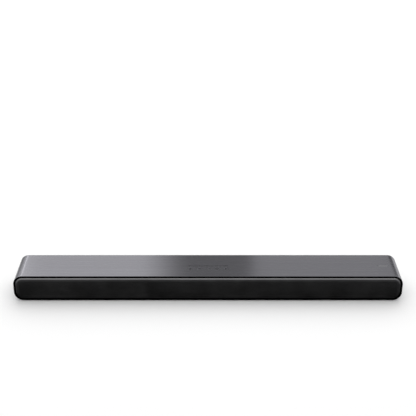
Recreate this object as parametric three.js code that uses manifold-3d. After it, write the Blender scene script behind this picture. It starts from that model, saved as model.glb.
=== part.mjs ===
// A soundbar: a brushed shell that wraps over the top and both ends, a black bezel and a perforated
// grille at the front, a tray underneath and a rear panel with the sockets. Inside are two speaker
// boxes, each with a racetrack woofer and a dome tweeter, and the electronics between them.
// Millimetres. X runs along the bar, to the right for a listener; the grille faces -Y; +Z is up.
// The origin is on the table, under the middle of the bar.
import * as THREE from "three";
import { mergeVertices } from "three/addons/utils/BufferGeometryUtils.js";
import Module from "manifold-3d";

const wasm = await Module();
wasm.setup();

// ---------------------------------------------------------------- driving dimensions

// Whole bar
const LENGTH = 810;
const DEPTH = 95;
const HEIGHT = 58;
const FOOT_STAND = 1.5; // how far the feet lift the case
const CORNER_RADIUS = 18.8; // of the case's outline, seen from the front
const SHELL_WALL = 2;
const SHELL_LIP = 6; // how far the shell turns in under the bar past each corner

// Fits
const GAP = 0.3; // around a piece that drops into another
const SEAT = 0.05; // between faces that are glued or screwed together
const JOIN = 0.5; // how deep a boss or rib runs into the wall that it grows from

// Bezel and grille
const GRILLE_PROUD = 1.5; // the grille stands this far in front of the bezel
const GRILLE_ROUND = 5; // radius of the grille's edge
const GRILLE_RIM = 3.3; // straight rim behind that radius
const GRILLE_SHEET = 0.8;
const BEZEL_LIP = 1.2; // thickness of the ring that covers the shell's edge
const BEZEL_SLEEVE = 1; // wall of the sleeve inside the shell
const SLEEVE_GAP = 0.2; // between that sleeve and the shell
const BEZEL_FLANGE = 2; // thickness of the flange that carries grille and baffle
const BEZEL_FLANGE_WIDTH = 3;
const FRAME_WIDTH = 3.4; // ring of the frame behind the grille
const FRAME_THICK = 3;
const RIB_WIDTH = 2;
const CLOTH_THICK = 0.4;
const BAFFLE_WALL = 3;
const INDICATOR_WINDOW = { width: 46, height: 6 };

// Top face: keys, groove and badge
const KEY_COUNT = 5;
const KEY_PITCH = 19.25;
const KEY_DIAMETER = 8;
const KEY_GAP = 0.3; // around each key in the shell
const KEY_SUNK = 0.2; // crown of the key below the shell's face
const KEY_EDGE = 0.4; // chamfer round the crown
const KEY_TRAVEL = 0.5;
const KEY_ROW_FROM_MIDDLE = 13.5; // the key row lies this far in front of the middle line
const KEY_FLANGE = 1.4; // how far the flange under the shell stands out all round
const KEY_FLANGE_THICK = 1;
const KEY_STEM_DIAMETER = 3.6;
const STEM_GAP = 0.2;
const GROOVE_WIDTH = 1.7;
const GROOVE_DEPTH = 0.8;
const BADGE = { length: 21, width: 3.4, thick: 0.8, fromEnd: 36, pocket: 0.95 };

// Key carrier and board, hung from the shell's roof
const GUIDE_PLATE = 1.5;
const GUIDE_DROP = 3.2; // roof to the top of the guide plate
const GUIDE_END = 11; // beyond the last key
const GUIDE_SIDE = 7; // in front of and behind the row
const GUIDE_EAR = 4; // pads at both ends, screwed to the roof
const GUIDE_SKIRT = 4.5; // guide plate to the key board
const BOARD_THICK = 1.6;
const SWITCH = { side: 6, height: 2.6 };

// Tray, feet and case screws
const FOOT = { length: 46, width: 9, pocket: 1, fromEnd: 22, fromFront: 12, fromRear: 24 };
const SCREW_BOSS_RADIUS = 3.6;
const SCREW_PILOT_RADIUS = 1.25;
const SCREW_PILOT_DEPTH = 14;
const SCREW_HOLE_RADIUS = 1.8;
const SCREW_HEAD = { radius: 3.4, depth: 1.1 };
const BOSS_FROM_REAR = 14;
const BOARD_LIFT = 6.5; // tray to the underside of a board
const STANDOFF_RADIUS = 2.6;
const TRAY_VENT = { count: 14, pitch: 6, length: 22, width: 2 };

// Rear panel and its sockets
const PANEL_WALL = 3;
const PANEL_INSET = 1; // panel face inside the shell's rear edge
const PANEL_VENT = { count: 16, pitch: 5, height: 22, width: 2 };
const BAY = { width: 184, height: 27, depth: 18, wall: 2, corner: 3 };
const SOCKET_NOSE = 1.5; // how far a socket stands into the bay
const WALL_MOUNT_SPACING = 600; // between the two keyholes
const KEYHOLE = { headRadius: 4.6, neckRadius: 2.3, rise: 9 };
const KEYHOLE_ROOM = 2; // the hole in the panel round each keyhole
const KEYHOLE_PLATE = { width: 34, height: 34, thick: 1.5, corner: 3 }; // let into the panel's rear face

// Speaker boxes and drivers
const CENTRE_ROOM = 300; // between the two boxes, for the electronics
const BOX_WALL = 2.5;
const BOX_DEPTH = 44;
const BOX_CORNER = 8;
const BOX_SHELL_ROOM = 4; // between a box and the case around it
const WOOFER_STRAIGHT = 52; // straight part of the racetrack
const WOOFER_FLANGE = 2;
const WOOFER_FLANGE_WIDTH = 4;
const SURROUND_WIDTH = 4.5;
const SURROUND_SHEET = 0.6;
const SURROUND_GLUE = 1.2; // flat band of the surround on the frame and on the cone
const CONE_DEPTH = 9;
const CONE_SHEET = 0.8;
const COIL_RADIUS = 8;
const COIL_WALL = 0.6;
const COIL_LENGTH = 14;
const COIL_GAP = 0.5;
const SPIDER_BEHIND_CONE = 3;
const SPIDER_WAVE = 0.8;
const BASKET_DEPTH = 15;
const BASKET_WALL = 1.6;
const MOTOR_RADIUS = 18;
const MOTOR_DEPTH = 13;
const MOTOR_BACK = 3; // solid plate behind the coil's slot
const TWEETER_RADIUS = 20;
const TWEETER_PLATE = 2;
const TWEETER_DOME_RADIUS = 10;
const TWEETER_DOME_RISE = 4;
const TWEETER_SUSPENSION = 2.2; // width of the roll round the dome
const TWEETER_MOTOR = { radius: 14, depth: 9 };
const BAFFLE_HOLE_ROOM = 0.5; // around a driver's basket in the baffle
const DUST_CAP = { rise: 3.4, sheet: 0.6 };
const TERMINAL = { length: 6, depth: 10, height: 12 }; // on each box, for its lead

// Boards: left and right edges; both reach from here behind the baffle to the bay's floor
const BOARD_FROM_BAFFLE = 14;
const MAIN_BOARD = { left: -24, right: 132 };
const POWER_BOARD = { left: -138, right: -34 };
const SPEAKER_PLUG = { width: 12, depth: 6, height: 6 };
const SPEAKER_PLUG_X = { left: -14, right: 106 };
const SPEAKER_LEAD_RADIUS = 1.4;
const DC_PLUG = { width: 6, depth: 12, height: 6, fromEdge: 5, fromRear: 20 };
const RIBBON = { width: 12, thick: 0.6, plugFromFront: 18, plugDepth: 4, plugHeight: 3 };
const HEAT_SINK = { left: 81, width: 36, depth: 22, fromFront: 8, height: 15, base: 3, fins: 8, fin: 1.6 };
const TRANSFORMER = {
  x: -90,
  fromFront: 13,
  core: { width: 26, depth: 16, low: 3, high: 19 },
  bobbin: { width: 18, depth: 22, low: 0, high: 21 },
};

// Sockets: place along the bar, and size of the block that stands on its board
const SOCKET_STAND = 0.2; // block above its board
const SOCKET_SIZES = {
  power: { x: -66, width: 21, height: 13, depth: 22 },
  hdmi: { x: -8, width: 15.4, height: 6.4, depth: 12 },
  optical: { x: 22, width: 11, height: 10.8, depth: 15 },
  aux: { x: 46, width: 9.6, height: 9.6, depth: 13 },
  usb: { x: 72, width: 14.6, height: 7.6, depth: 14 },
};
const INLET = { width: 16.6, height: 8.6, deep: 14, pinRadius: 1.2, pinPitch: 8.6 };
const OPTICAL = { mouth: 8.8, deep: 12 };
// The shutter's hinge line hangs below the mouth's upper edge, and lies inside its front.
const FLAP = { thick: 0.8, gap: 0.25, hang: 0.7, inside: 0.7 };

// ---------------------------------------------------------------- places worked out from them

const bodyHeight = HEIGHT - FOOT_STAND;
const bodyMidZ = FOOT_STAND + bodyHeight / 2;
const trayTopZ = FOOT_STAND + SHELL_WALL;
const roofZ = HEIGHT - SHELL_WALL;
const trayHalf = LENGTH / 2 - CORNER_RADIUS - SHELL_LIP;

const grilleFrontY = -DEPTH / 2;
const bezelFrontY = grilleFrontY + GRILLE_PROUD;
const shellFrontY = bezelFrontY + BEZEL_LIP;
const shellRearY = DEPTH / 2;
const grilleRimY = grilleFrontY + GRILLE_ROUND + GRILLE_RIM;
const flangeFrontY = grilleRimY + GAP;
const flangeRearY = flangeFrontY + BEZEL_FLANGE;
const baffleFrontY = flangeRearY + SEAT;
const baffleRearY = baffleFrontY + BAFFLE_WALL;
const panelRearY = shellRearY - PANEL_INSET;
const panelFrontY = panelRearY - PANEL_WALL;
const bayFloorRearY = panelRearY - BAY.depth;
const bayFloorFrontY = bayFloorRearY - BAY.wall;

const sleeveInset = SHELL_WALL + SLEEVE_GAP;
const bezelInset = sleeveInset + BEZEL_SLEEVE; // inner edge of the ring that shows
const flangeInset = bezelInset + BEZEL_FLANGE_WIDTH;
const grilleInset = bezelInset + GAP;
const frameInset = grilleInset + GRILLE_SHEET + GAP;
const baffleInset = SHELL_WALL + GAP;

const boxInnerX = CENTRE_ROOM / 2;
const boxOuterX = trayHalf - BOX_SHELL_ROOM;
const boxFrontY = baffleRearY + SEAT;
const boxRearY = boxFrontY + BOX_DEPTH;
const boxLowZ = trayTopZ + BOX_SHELL_ROOM;
const boxHighZ = roofZ - BOX_SHELL_ROOM;

const wooferFlangeRadius = bodyHeight / 2 - flangeInset - GAP;
const wooferHoleRadius = wooferFlangeRadius - WOOFER_FLANGE_WIDTH;
const coneRadius = wooferHoleRadius - SURROUND_WIDTH + SURROUND_GLUE;
const wooferHalf = WOOFER_STRAIGHT / 2 + wooferFlangeRadius;
const driverRoom = (boxOuterX - boxInnerX - 2 * wooferHalf - 2 * TWEETER_RADIUS) / 3;
const wooferX = boxInnerX + driverRoom + wooferHalf;
const tweeterX = boxOuterX - driverRoom - TWEETER_RADIUS;

const keyRowY = -KEY_ROW_FROM_MIDDLE;
const keyXs = Array.from({ length: KEY_COUNT }, (_, i) => (i - (KEY_COUNT - 1) / 2) * KEY_PITCH);
const grooveLength = (KEY_COUNT - 1) * KEY_PITCH + KEY_DIAMETER - GROOVE_WIDTH;
const badgeX = LENGTH / 2 - BADGE.fromEnd;
const guideTopZ = roofZ - GUIDE_DROP;
const guideLowZ = guideTopZ - GUIDE_PLATE;
const keyBoardTopZ = guideLowZ - GUIDE_SKIRT;
const guideHalfX = keyXs[KEY_COUNT - 1] + GUIDE_END;

const boardZ = trayTopZ + BOARD_LIFT;
const boardTopZ = boardZ + BOARD_THICK;
const bayLowZ = boardZ - 1;
const bayMidZ = bayLowZ + BAY.height / 2;
const socketRearY = bayFloorRearY + SOCKET_NOSE;
const bossY = shellRearY - BOSS_FROM_REAR;
const bossXs = [trayHalf - 14, (trayHalf - 14 + BAY.width / 2 + 12) / 2, BAY.width / 2 + 12];
const keyholeZ = bodyMidZ;

const boardRearY = bayFloorFrontY - GAP;
const boardFrontY = baffleRearY + BOARD_FROM_BAFFLE;
const dcLeadY = boardRearY - DC_PLUG.fromRear;
const terminalY = (boxFrontY + boxRearY) / 2;
const SOCKETS = Object.fromEntries(
  Object.entries(SOCKET_SIZES).map(([name, size]) => [
    name,
    { ...size, z: boardTopZ + SOCKET_STAND + size.height / 2 },
  ]),
);

// Fineness: curve divisions of each arc, and sides of a round piece
const CASE_ARC = 4;
const SMALL_ARC = 2;
const ROUND_SIDES = 16;
const SMALL_SIDES = 10;

// ---------------------------------------------------------------- helpers

// A closed three.js geometry as a solid that can be cut and joined.
function solid(geometry) {
  const bare = geometry.index ? geometry.toNonIndexed() : geometry.clone();
  bare.deleteAttribute("normal");
  bare.deleteAttribute("uv");
  const merged = mergeVertices(bare, 1e-4);
  const mesh = new wasm.Mesh({
    numProp: 3,
    vertProperties: merged.attributes.position.array,
    triVerts: new Uint32Array(merged.index.array),
  });
  return new wasm.Manifold(mesh);
}

function geometryOf(body) {
  const mesh = body.getMesh();
  const geometry = new THREE.BufferGeometry();
  geometry.setAttribute("position", new THREE.BufferAttribute(new Float32Array(mesh.vertProperties), 3));
  geometry.setIndex(new THREE.BufferAttribute(new Uint32Array(mesh.triVerts), 1));
  geometry.computeVertexNormals();
  return geometry;
}

const join = (first, ...rest) => rest.reduce((all, one) => all.add(one), first);
const cut = (first, ...rest) => rest.reduce((left, one) => left.subtract(one), first);

function box(x0, x1, y0, y1, z0, z1) {
  const geometry = new THREE.BoxGeometry(x1 - x0, y1 - y0, z1 - z0);
  return solid(geometry.translate((x0 + x1) / 2, (y0 + y1) / 2, (z0 + z1) / 2));
}

// A rectangle with round corners, centred on the origin.
function roundedRect(width, height, radius) {
  const r = Math.min(radius, width / 2 - 0.01, height / 2 - 0.01);
  const x = width / 2 - r;
  const y = height / 2 - r;
  const shape = new THREE.Shape();
  shape.absarc(x, y, r, 0, Math.PI / 2);
  shape.absarc(-x, y, r, Math.PI / 2, Math.PI);
  shape.absarc(-x, -y, r, Math.PI, 1.5 * Math.PI);
  shape.absarc(x, -y, r, 1.5 * Math.PI, 2 * Math.PI);
  return shape;
}

const caseProfile = (inset) =>
  roundedRect(LENGTH - 2 * inset, bodyHeight - 2 * inset, CORNER_RADIUS - inset);

function circle(radius) {
  const shape = new THREE.Shape();
  shape.absarc(0, 0, radius, 0, 2 * Math.PI);
  return shape;
}

// A shape drawn in X and Z, extruded from y0 to y1.
function alongY(shape, y0, y1, x = 0, z = 0, curveSegments = SMALL_ARC) {
  const geometry = new THREE.ExtrudeGeometry(shape, { depth: y1 - y0, bevelEnabled: false, curveSegments });
  return solid(geometry.rotateX(Math.PI / 2).translate(x, y1, z));
}

// A shape drawn in X and Y, extruded from z0 to z1.
function alongZ(shape, z0, z1, x = 0, y = 0, curveSegments = SMALL_ARC) {
  const geometry = new THREE.ExtrudeGeometry(shape, { depth: z1 - z0, bevelEnabled: false, curveSegments });
  return solid(geometry.translate(x, y, z0));
}

// The case's outline, drawn in by an inset and extruded from y0 to y1.
const caseBlock = (inset, y0, y1) => alongY(caseProfile(inset), y0, y1, 0, bodyMidZ, CASE_ARC);

const caseRing = (outerInset, innerInset, y0, y1) =>
  caseBlock(outerInset, y0, y1).subtract(caseBlock(innerInset, y0 - 1, y1 + 1));

const rodY = (radius, y0, y1, x = 0, z = 0, sides = SMALL_SIDES) =>
  solid(new THREE.CylinderGeometry(radius, radius, y1 - y0, sides).translate(x, (y0 + y1) / 2, z));

const rodZ = (radius, z0, z1, x = 0, y = 0, sides = SMALL_SIDES) =>
  solid(
    new THREE.CylinderGeometry(radius, radius, z1 - z0, sides)
      .rotateX(Math.PI / 2)
      .translate(x, y, (z0 + z1) / 2),
  );

const signedArea = (points) =>
  points.reduce((sum, [x, y], i) => {
    const [nextX, nextY] = points[(i + 1) % points.length];
    return sum + (x * nextY - nextX * y) / 2;
  }, 0);

// Turns a profile of [radius, y] points about the Y axis.
function turned(profile, sides = ROUND_SIDES) {
  const ordered = signedArea(profile) < 0 ? [...profile].reverse() : profile;
  const onAxis = ordered.some(([radius]) => radius === 0);
  const points = ordered.map(([radius, y]) => new THREE.Vector2(radius, y));
  if (onAxis) {
    const start = ordered.findIndex(([radius], i) => {
      const [previous] = ordered[(i + ordered.length - 1) % ordered.length];
      return radius === 0 && previous === 0;
    });
    points.unshift(...points.splice(start));
  } else {
    points.push(points[0].clone());
  }
  return solid(new THREE.LatheGeometry(points, sides));
}

// A ring whose section is a closed list of [half straight, radius, y] points: each point is carried
// round a racetrack with those ends. A half straight of 0 is a circle.
function racetrackRing(section, sides = ROUND_SIDES) {
  const flat = section.map(([half, radius, y]) => [half + radius, y]);
  const ordered = signedArea(flat) < 0 ? [...section].reverse() : section;
  const positions = [];
  for (const [half, radius, y] of ordered) {
    for (let i = 0; i < sides; i += 1) {
      const angle = ((i + 0.5) * 2 * Math.PI) / sides;
      const x = radius * Math.cos(angle) + half * Math.sign(Math.cos(angle));
      positions.push(x, y, radius * Math.sin(angle));
    }
  }
  const index = [];
  for (let j = 0; j < ordered.length; j += 1) {
    const next = (j + 1) % ordered.length;
    for (let i = 0; i < sides; i += 1) {
      const a = j * sides + i;
      const b = j * sides + ((i + 1) % sides);
      const c = next * sides + i;
      const d = next * sides + ((i + 1) % sides);
      index.push(a, c, b, b, c, d);
    }
  }
  const geometry = new THREE.BufferGeometry();
  geometry.setAttribute("position", new THREE.Float32BufferAttribute(positions, 3));
  geometry.setIndex(index);
  return solid(geometry);
}

// A racetrack or, with no straight, a round hole or plug along Y.
const racetrackPlug = (half, radius, y0, y1, x) =>
  alongY(roundedRect(2 * (half + radius), 2 * radius, radius), y0, y1, x, bodyMidZ);

// A round lead along a smooth curve.
function lead(points, radius) {
  const path = new THREE.CatmullRomCurve3(points.map((p) => new THREE.Vector3(...p)));
  const section = circle(radius);
  const options = { steps: 12, extrudePath: path, curveSegments: 4, bevelEnabled: false };
  return solid(new THREE.ExtrudeGeometry(section, options));
}

const finish = (color, roughness, metalness = 0) =>
  new THREE.MeshStandardMaterial({ color, roughness, metalness });

const FINISH = {
  brushedGrey: finish(0x6f6e75, 0.38, 0.75),
  brightMetal: finish(0xb9bbc0, 0.3, 1),
  blackPlastic: finish(0x17181a, 0.6),
  bezelBlack: finish(0x050505, 0.45),
  grilleBlack: finish(0x1b1b1c, 0.5, 0.4),
  cloth: finish(0x0b0b0c, 0.95),
  rubber: finish(0x1d1d1d, 0.9),
  steel: finish(0x9a9da1, 0.35, 1),
  magnetGrey: finish(0x3c3d40, 0.5, 0.7),
  paperCone: finish(0x222326, 0.85),
  spiderCloth: finish(0xb38a3c, 0.9),
  copper: finish(0xb06a3a, 0.4, 0.8),
  silk: finish(0x2b2b30, 0.7),
  boardGreen: finish(0x1f5a3c, 0.5),
  aluminium: finish(0xa8abb0, 0.45, 0.9),
  coilYellow: finish(0xc9a227, 0.6),
  socketBlack: finish(0x101012, 0.4),
  leadRed: finish(0x8c1f1c, 0.6),
  ribbonWhite: finish(0xd9d9d6, 0.6),
  smokedLens: finish(0x1a1416, 0.15),
};

const part = new THREE.Group();

function add(name, body, material, parent = part) {
  const mesh = new THREE.Mesh(geometryOf(body), material);
  mesh.name = name;
  parent.add(mesh);
  return mesh;
}

// ---------------------------------------------------------------- case

const bossPlaces = bossXs.flatMap((x) => [x, -x]);

function topCover() {
  const shell = caseRing(0, SHELL_WALL, shellFrontY, shellRearY);
  const opening = trayHalf + GAP;
  const underside = box(-opening, opening, shellFrontY - 1, shellRearY + 1, 0, trayTopZ + 1);
  const keyHoleRadius = KEY_DIAMETER / 2 + KEY_GAP;
  const keyHoles = keyXs.map((x) => rodZ(keyHoleRadius, roofZ - 1, HEIGHT + 1, x, keyRowY, ROUND_SIDES));
  const groove = alongZ(
    roundedRect(grooveLength + GROOVE_WIDTH, GROOVE_WIDTH, GROOVE_WIDTH / 2),
    HEIGHT - GROOVE_DEPTH,
    HEIGHT + 1,
  );
  const badgePocket = alongZ(
    roundedRect(BADGE.length + 2 * GAP, BADGE.width + 2 * GAP, BADGE.width / 2 + GAP),
    HEIGHT - BADGE.pocket,
    HEIGHT + 1,
    badgeX,
  );
  const bosses = bossPlaces.map((x) =>
    rodZ(SCREW_BOSS_RADIUS, trayTopZ + SEAT, roofZ + JOIN, x, bossY).subtract(
      rodZ(SCREW_PILOT_RADIUS, trayTopZ - 1, trayTopZ + SCREW_PILOT_DEPTH, x, bossY, 8),
    ),
  );
  return join(cut(shell, underside, groove, badgePocket, ...keyHoles), ...bosses);
}

const footPlaces = () => {
  const x = trayHalf - FOOT.fromEnd - FOOT.length / 2;
  const front = shellFrontY + FOOT.fromFront;
  const rear = shellRearY - FOOT.fromRear;
  return [[-x, front], [x, front], [-x, rear], [x, rear]];
};

// A row of slots that let warm air through; the middle of each, from the middle of the row.
const rowOf = (count, pitch, middle) =>
  Array.from({ length: count }, (_, i) => middle + (i - (count - 1) / 2) * pitch);

function bottomTray() {
  const plate = box(-trayHalf, trayHalf, shellFrontY, shellRearY, FOOT_STAND, trayTopZ);
  const screwHoles = bossPlaces.flatMap((x) => [
    rodZ(SCREW_HOLE_RADIUS, FOOT_STAND - 1, trayTopZ + 1, x, bossY, 8),
    rodZ(SCREW_HEAD.radius, FOOT_STAND - 1, FOOT_STAND + SCREW_HEAD.depth, x, bossY),
  ]);
  const footPockets = footPlaces().map(([x, y]) =>
    alongZ(
      roundedRect(FOOT.length + 2 * GAP, FOOT.width + 2 * GAP, FOOT.width / 2 + GAP),
      FOOT_STAND - 1,
      FOOT_STAND + FOOT.pocket,
      x,
      y,
    ),
  );
  const ventY = (boardFrontY + boardRearY) / 2;
  const vents = rowOf(TRAY_VENT.count, TRAY_VENT.pitch, (POWER_BOARD.left + POWER_BOARD.right) / 2).map((x) =>
    box(
      x - TRAY_VENT.width / 2,
      x + TRAY_VENT.width / 2,
      ventY - TRAY_VENT.length / 2,
      ventY + TRAY_VENT.length / 2,
      FOOT_STAND - 1,
      trayTopZ + 1,
    ),
  );
  const standoffs = [MAIN_BOARD, POWER_BOARD].flatMap((board) =>
    boardCorners(board).map(([x, y]) => rodZ(STANDOFF_RADIUS, trayTopZ - JOIN, boardZ - SEAT, x, y, 8)),
  );
  return join(cut(plate, ...screwHoles, ...footPockets, ...vents), ...standoffs);
}

function foot() {
  const top = FOOT_STAND + FOOT.pocket - SEAT;
  return alongZ(roundedRect(FOOT.length, FOOT.width, FOOT.width / 2), 0, top);
}

function frontBezel() {
  return join(
    caseRing(0, bezelInset, bezelFrontY, shellFrontY - SEAT),
    caseRing(sleeveInset, bezelInset, bezelFrontY, flangeRearY),
    caseRing(sleeveInset, flangeInset, flangeFrontY, flangeRearY),
  );
}

// The pan that the grille sheet is pressed into: its outline, its round edge and its rim.
function grillePan(inset, frontY, edgeRadius, rearY) {
  const geometry = new THREE.ExtrudeGeometry(caseProfile(inset + edgeRadius), {
    depth: DEPTH,
    bevelEnabled: true,
    bevelThickness: edgeRadius,
    bevelSize: edgeRadius,
    bevelSegments: 3,
    curveSegments: CASE_ARC,
  });
  // Both ends come out round: the rear one, far behind, is cut away.
  const whole = solid(geometry.rotateX(Math.PI / 2).translate(0, frontY + DEPTH + edgeRadius, bodyMidZ));
  return whole.subtract(box(-LENGTH, LENGTH, rearY, rearY + 3 * DEPTH, -HEIGHT, 2 * HEIGHT));
}

function frontGrille() {
  const outside = grillePan(grilleInset, grilleFrontY, GRILLE_ROUND, grilleRimY);
  const inside = grillePan(
    grilleInset + GRILLE_SHEET,
    grilleFrontY + GRILLE_SHEET,
    GRILLE_ROUND - GRILLE_SHEET,
    grilleRimY + 1,
  );
  return outside.subtract(inside);
}

// Ribs stand between the drivers and beside the indicator, and hold the cloth against the grille.
const ribXs = [
  INDICATOR_WINDOW.width / 2 + driverRoom / 2,
  boxInnerX + driverRoom / 2,
  wooferX + wooferHalf + driverRoom / 2,
  tweeterX + TWEETER_RADIUS + driverRoom / 2,
].flatMap((x) => [x, -x]);

function grilleFrame() {
  const ringFrontY = grilleRimY - FRAME_THICK;
  const clothRearY = grilleFrontY + GRILLE_SHEET + CLOTH_THICK + 2 * SEAT;
  const backHalf = bodyHeight / 2 - frameInset - FRAME_WIDTH + JOIN;
  const frontHalf = bodyHeight / 2 - grilleInset - GRILLE_ROUND - GAP;
  const rib = (x, y0, half) =>
    box(x - RIB_WIDTH / 2, x + RIB_WIDTH / 2, y0, grilleRimY, bodyMidZ - half, bodyMidZ + half);
  const ribs = ribXs.flatMap((x) => [rib(x, ringFrontY, backHalf), rib(x, clothRearY, frontHalf)]);
  return join(caseRing(frameInset, frameInset + FRAME_WIDTH, ringFrontY, grilleRimY), ...ribs);
}

function acousticCloth() {
  const frontY = grilleFrontY + GRILLE_SHEET + SEAT;
  return caseBlock(grilleInset + GRILLE_ROUND, frontY, frontY + CLOTH_THICK);
}

function frontBaffle() {
  const y0 = baffleFrontY - 1;
  const y1 = baffleRearY + 1;
  const wooferHole = wooferHoleRadius + BASKET_WALL + BAFFLE_HOLE_ROOM;
  const holes = [-1, 1].flatMap((side) => [
    racetrackPlug(WOOFER_STRAIGHT / 2, wooferHole, y0, y1, side * wooferX),
    rodY(TWEETER_MOTOR.radius + BAFFLE_HOLE_ROOM, y0, y1, side * tweeterX, bodyMidZ, ROUND_SIDES),
  ]);
  const { width, height } = INDICATOR_WINDOW;
  const windowHole = alongY(roundedRect(width, height, 1), y0, y1, 0, bodyMidZ);
  return cut(caseBlock(baffleInset, baffleFrontY, baffleRearY), ...holes, windowHole);
}

// A round hole for a screw's head, with a slot above it for the screw's neck.
function keyholeShape(headRadius, neckRadius, rise) {
  const side = Math.asin(neckRadius / headRadius);
  const shape = new THREE.Shape();
  shape.absarc(0, rise, neckRadius, 0, Math.PI);
  shape.absarc(0, 0, headRadius, Math.PI / 2 + side, 2.5 * Math.PI - side);
  return shape;
}

const keyhole = (room, y0, y1, x, z) => {
  const { headRadius, neckRadius, rise } = KEYHOLE;
  return alongY(keyholeShape(headRadius + room, neckRadius + room, rise), y0, y1, x, z - rise / 2, 5);
};

// Midway between the bay and the keyholes.
const panelVentX = (BAY.width / 2 + WALL_MOUNT_SPACING / 2) / 2;

function rearPanel() {
  const plate = caseBlock(SHELL_WALL + GAP, panelFrontY, panelRearY);
  const outer = roundedRect(BAY.width + 2 * BAY.wall, BAY.height + 2 * BAY.wall, BAY.corner + BAY.wall);
  const inner = roundedRect(BAY.width, BAY.height, BAY.corner);
  const cup = alongY(outer, bayFloorFrontY, panelRearY, 0, bayMidZ);
  const hollow = alongY(inner, bayFloorRearY, panelRearY + 1, 0, bayMidZ);
  const socketHoles = Object.values(SOCKETS).map(({ x, z, width, height }) => {
    const halfX = width / 2 + GAP;
    const halfZ = height / 2 + GAP;
    return box(x - halfX, x + halfX, bayFloorFrontY - 1, bayFloorRearY + 1, z - halfZ, z + halfZ);
  });
  const keyholes = [-1, 1].map((side) =>
    keyhole(KEYHOLE_ROOM, panelFrontY - 1, panelRearY + 1, (side * WALL_MOUNT_SPACING) / 2, keyholeZ),
  );
  const pocketY = panelRearY - KEYHOLE_PLATE.thick - SEAT;
  const pockets = [-1, 1].map((side) =>
    alongY(keyholePlateOutline(GAP), pocketY, panelRearY + 1, (side * WALL_MOUNT_SPACING) / 2, keyholeZ),
  );
  const vents = [-1, 1].flatMap((side) =>
    rowOf(PANEL_VENT.count, PANEL_VENT.pitch, side * panelVentX).map((x) =>
      box(
        x - PANEL_VENT.width / 2,
        x + PANEL_VENT.width / 2,
        panelFrontY - 1,
        panelRearY + 1,
        bodyMidZ - PANEL_VENT.height / 2,
        bodyMidZ + PANEL_VENT.height / 2,
      ),
    ),
  );
  return cut(plate.add(cup), hollow, ...pockets, ...keyholes, ...socketHoles, ...vents);
}

function keyholePlateOutline(room) {
  const { width, height, corner } = KEYHOLE_PLATE;
  return roundedRect(width + 2 * room, height + 2 * room, corner + room);
}

function keyholePlate() {
  const { thick } = KEYHOLE_PLATE;
  return alongY(keyholePlateOutline(0), 0, thick).subtract(keyhole(0, -1, thick + 1, 0, 0));
}

const badgePlate = () => alongZ(roundedRect(BADGE.length, BADGE.width, BADGE.width / 2), 0, BADGE.thick);

// ---------------------------------------------------------------- keys

function key() {
  const radius = KEY_DIAMETER / 2;
  const top = HEIGHT - KEY_SUNK;
  const flangeTop = roofZ - SEAT;
  const flangeLow = flangeTop - KEY_FLANGE_THICK;
  const crown = turned(
    [
      [0, flangeLow],
      [radius + KEY_FLANGE, flangeLow],
      [radius + KEY_FLANGE, flangeTop],
      [radius, flangeTop],
      [radius, top - KEY_EDGE],
      [radius - KEY_EDGE, top],
      [0, top],
    ],
    16,
  ).rotate([90, 0, 0]);
  const stemLow = keyBoardTopZ + SWITCH.height + KEY_TRAVEL + SEAT;
  return crown.add(rodZ(KEY_STEM_DIAMETER / 2, stemLow, flangeLow + JOIN, 0, 0, 10));
}

// The guide and the key board lie along the whole row.
const underKeys = (x0, x1, z0, z1) => box(x0, x1, keyRowY - GUIDE_SIDE, keyRowY + GUIDE_SIDE, z0, z1);

function keyGuide() {
  const plate = underKeys(-guideHalfX, guideHalfX, guideLowZ, guideTopZ);
  const boreRadius = KEY_STEM_DIAMETER / 2 + STEM_GAP;
  const bores = keyXs.map((x) => rodZ(boreRadius, guideLowZ - 1, guideTopZ + 1, x, keyRowY));
  const ends = [-1, 1].flatMap((side) => {
    const low = side < 0 ? -guideHalfX : guideHalfX - GUIDE_PLATE;
    const ear = side < 0 ? -guideHalfX : guideHalfX - GUIDE_EAR;
    return [
      underKeys(low, low + GUIDE_PLATE, keyBoardTopZ + SEAT, guideTopZ),
      underKeys(ear, ear + GUIDE_EAR, guideTopZ - JOIN, roofZ - SEAT),
    ];
  });
  return join(cut(plate, ...bores), ...ends);
}

function keyBoard() {
  const plate = underKeys(-guideHalfX, guideHalfX, keyBoardTopZ - BOARD_THICK, keyBoardTopZ);
  const half = SWITCH.side / 2;
  const switchTopZ = keyBoardTopZ + SWITCH.height;
  const switches = keyXs.map((x) =>
    box(x - half, x + half, keyRowY - half, keyRowY + half, keyBoardTopZ - JOIN, switchTopZ),
  );
  return join(plate, ...switches);
}

// A flat ribbon from the underside of the key board down to the main board.
function keyRibbon() {
  const half = RIBBON.thick / 2;
  const start = new THREE.Vector2(keyRowY, keyBoardTopZ - BOARD_THICK - SEAT);
  const end = new THREE.Vector2(boardFrontY + RIBBON.plugFromFront, boardTopZ + RIBBON.plugHeight + SEAT);
  const bend = (start.y - end.y) / 2;
  const path = new THREE.CubicBezierCurve(
    start,
    new THREE.Vector2(start.x, start.y - bend),
    new THREE.Vector2(end.x, end.y + bend),
    end,
  );
  const steps = 10;
  const one = [];
  const other = [];
  for (let i = 0; i <= steps; i += 1) {
    const point = path.getPoint(i / steps);
    const along = path.getTangent(i / steps);
    one.push(new THREE.Vector2(point.x - along.y * half, point.y + along.x * half));
    other.unshift(new THREE.Vector2(point.x + along.y * half, point.y - along.x * half));
  }
  // Drawn in Y and Z, extruded along X.
  const strip = new THREE.ExtrudeGeometry(new THREE.Shape([...one, ...other]), {
    depth: RIBBON.width,
    bevelEnabled: false,
  });
  return solid(strip.rotateY(Math.PI / 2).rotateX(Math.PI / 2).translate(-RIBBON.width / 2, 0, 0));
}

// ---------------------------------------------------------------- speakers

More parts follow.
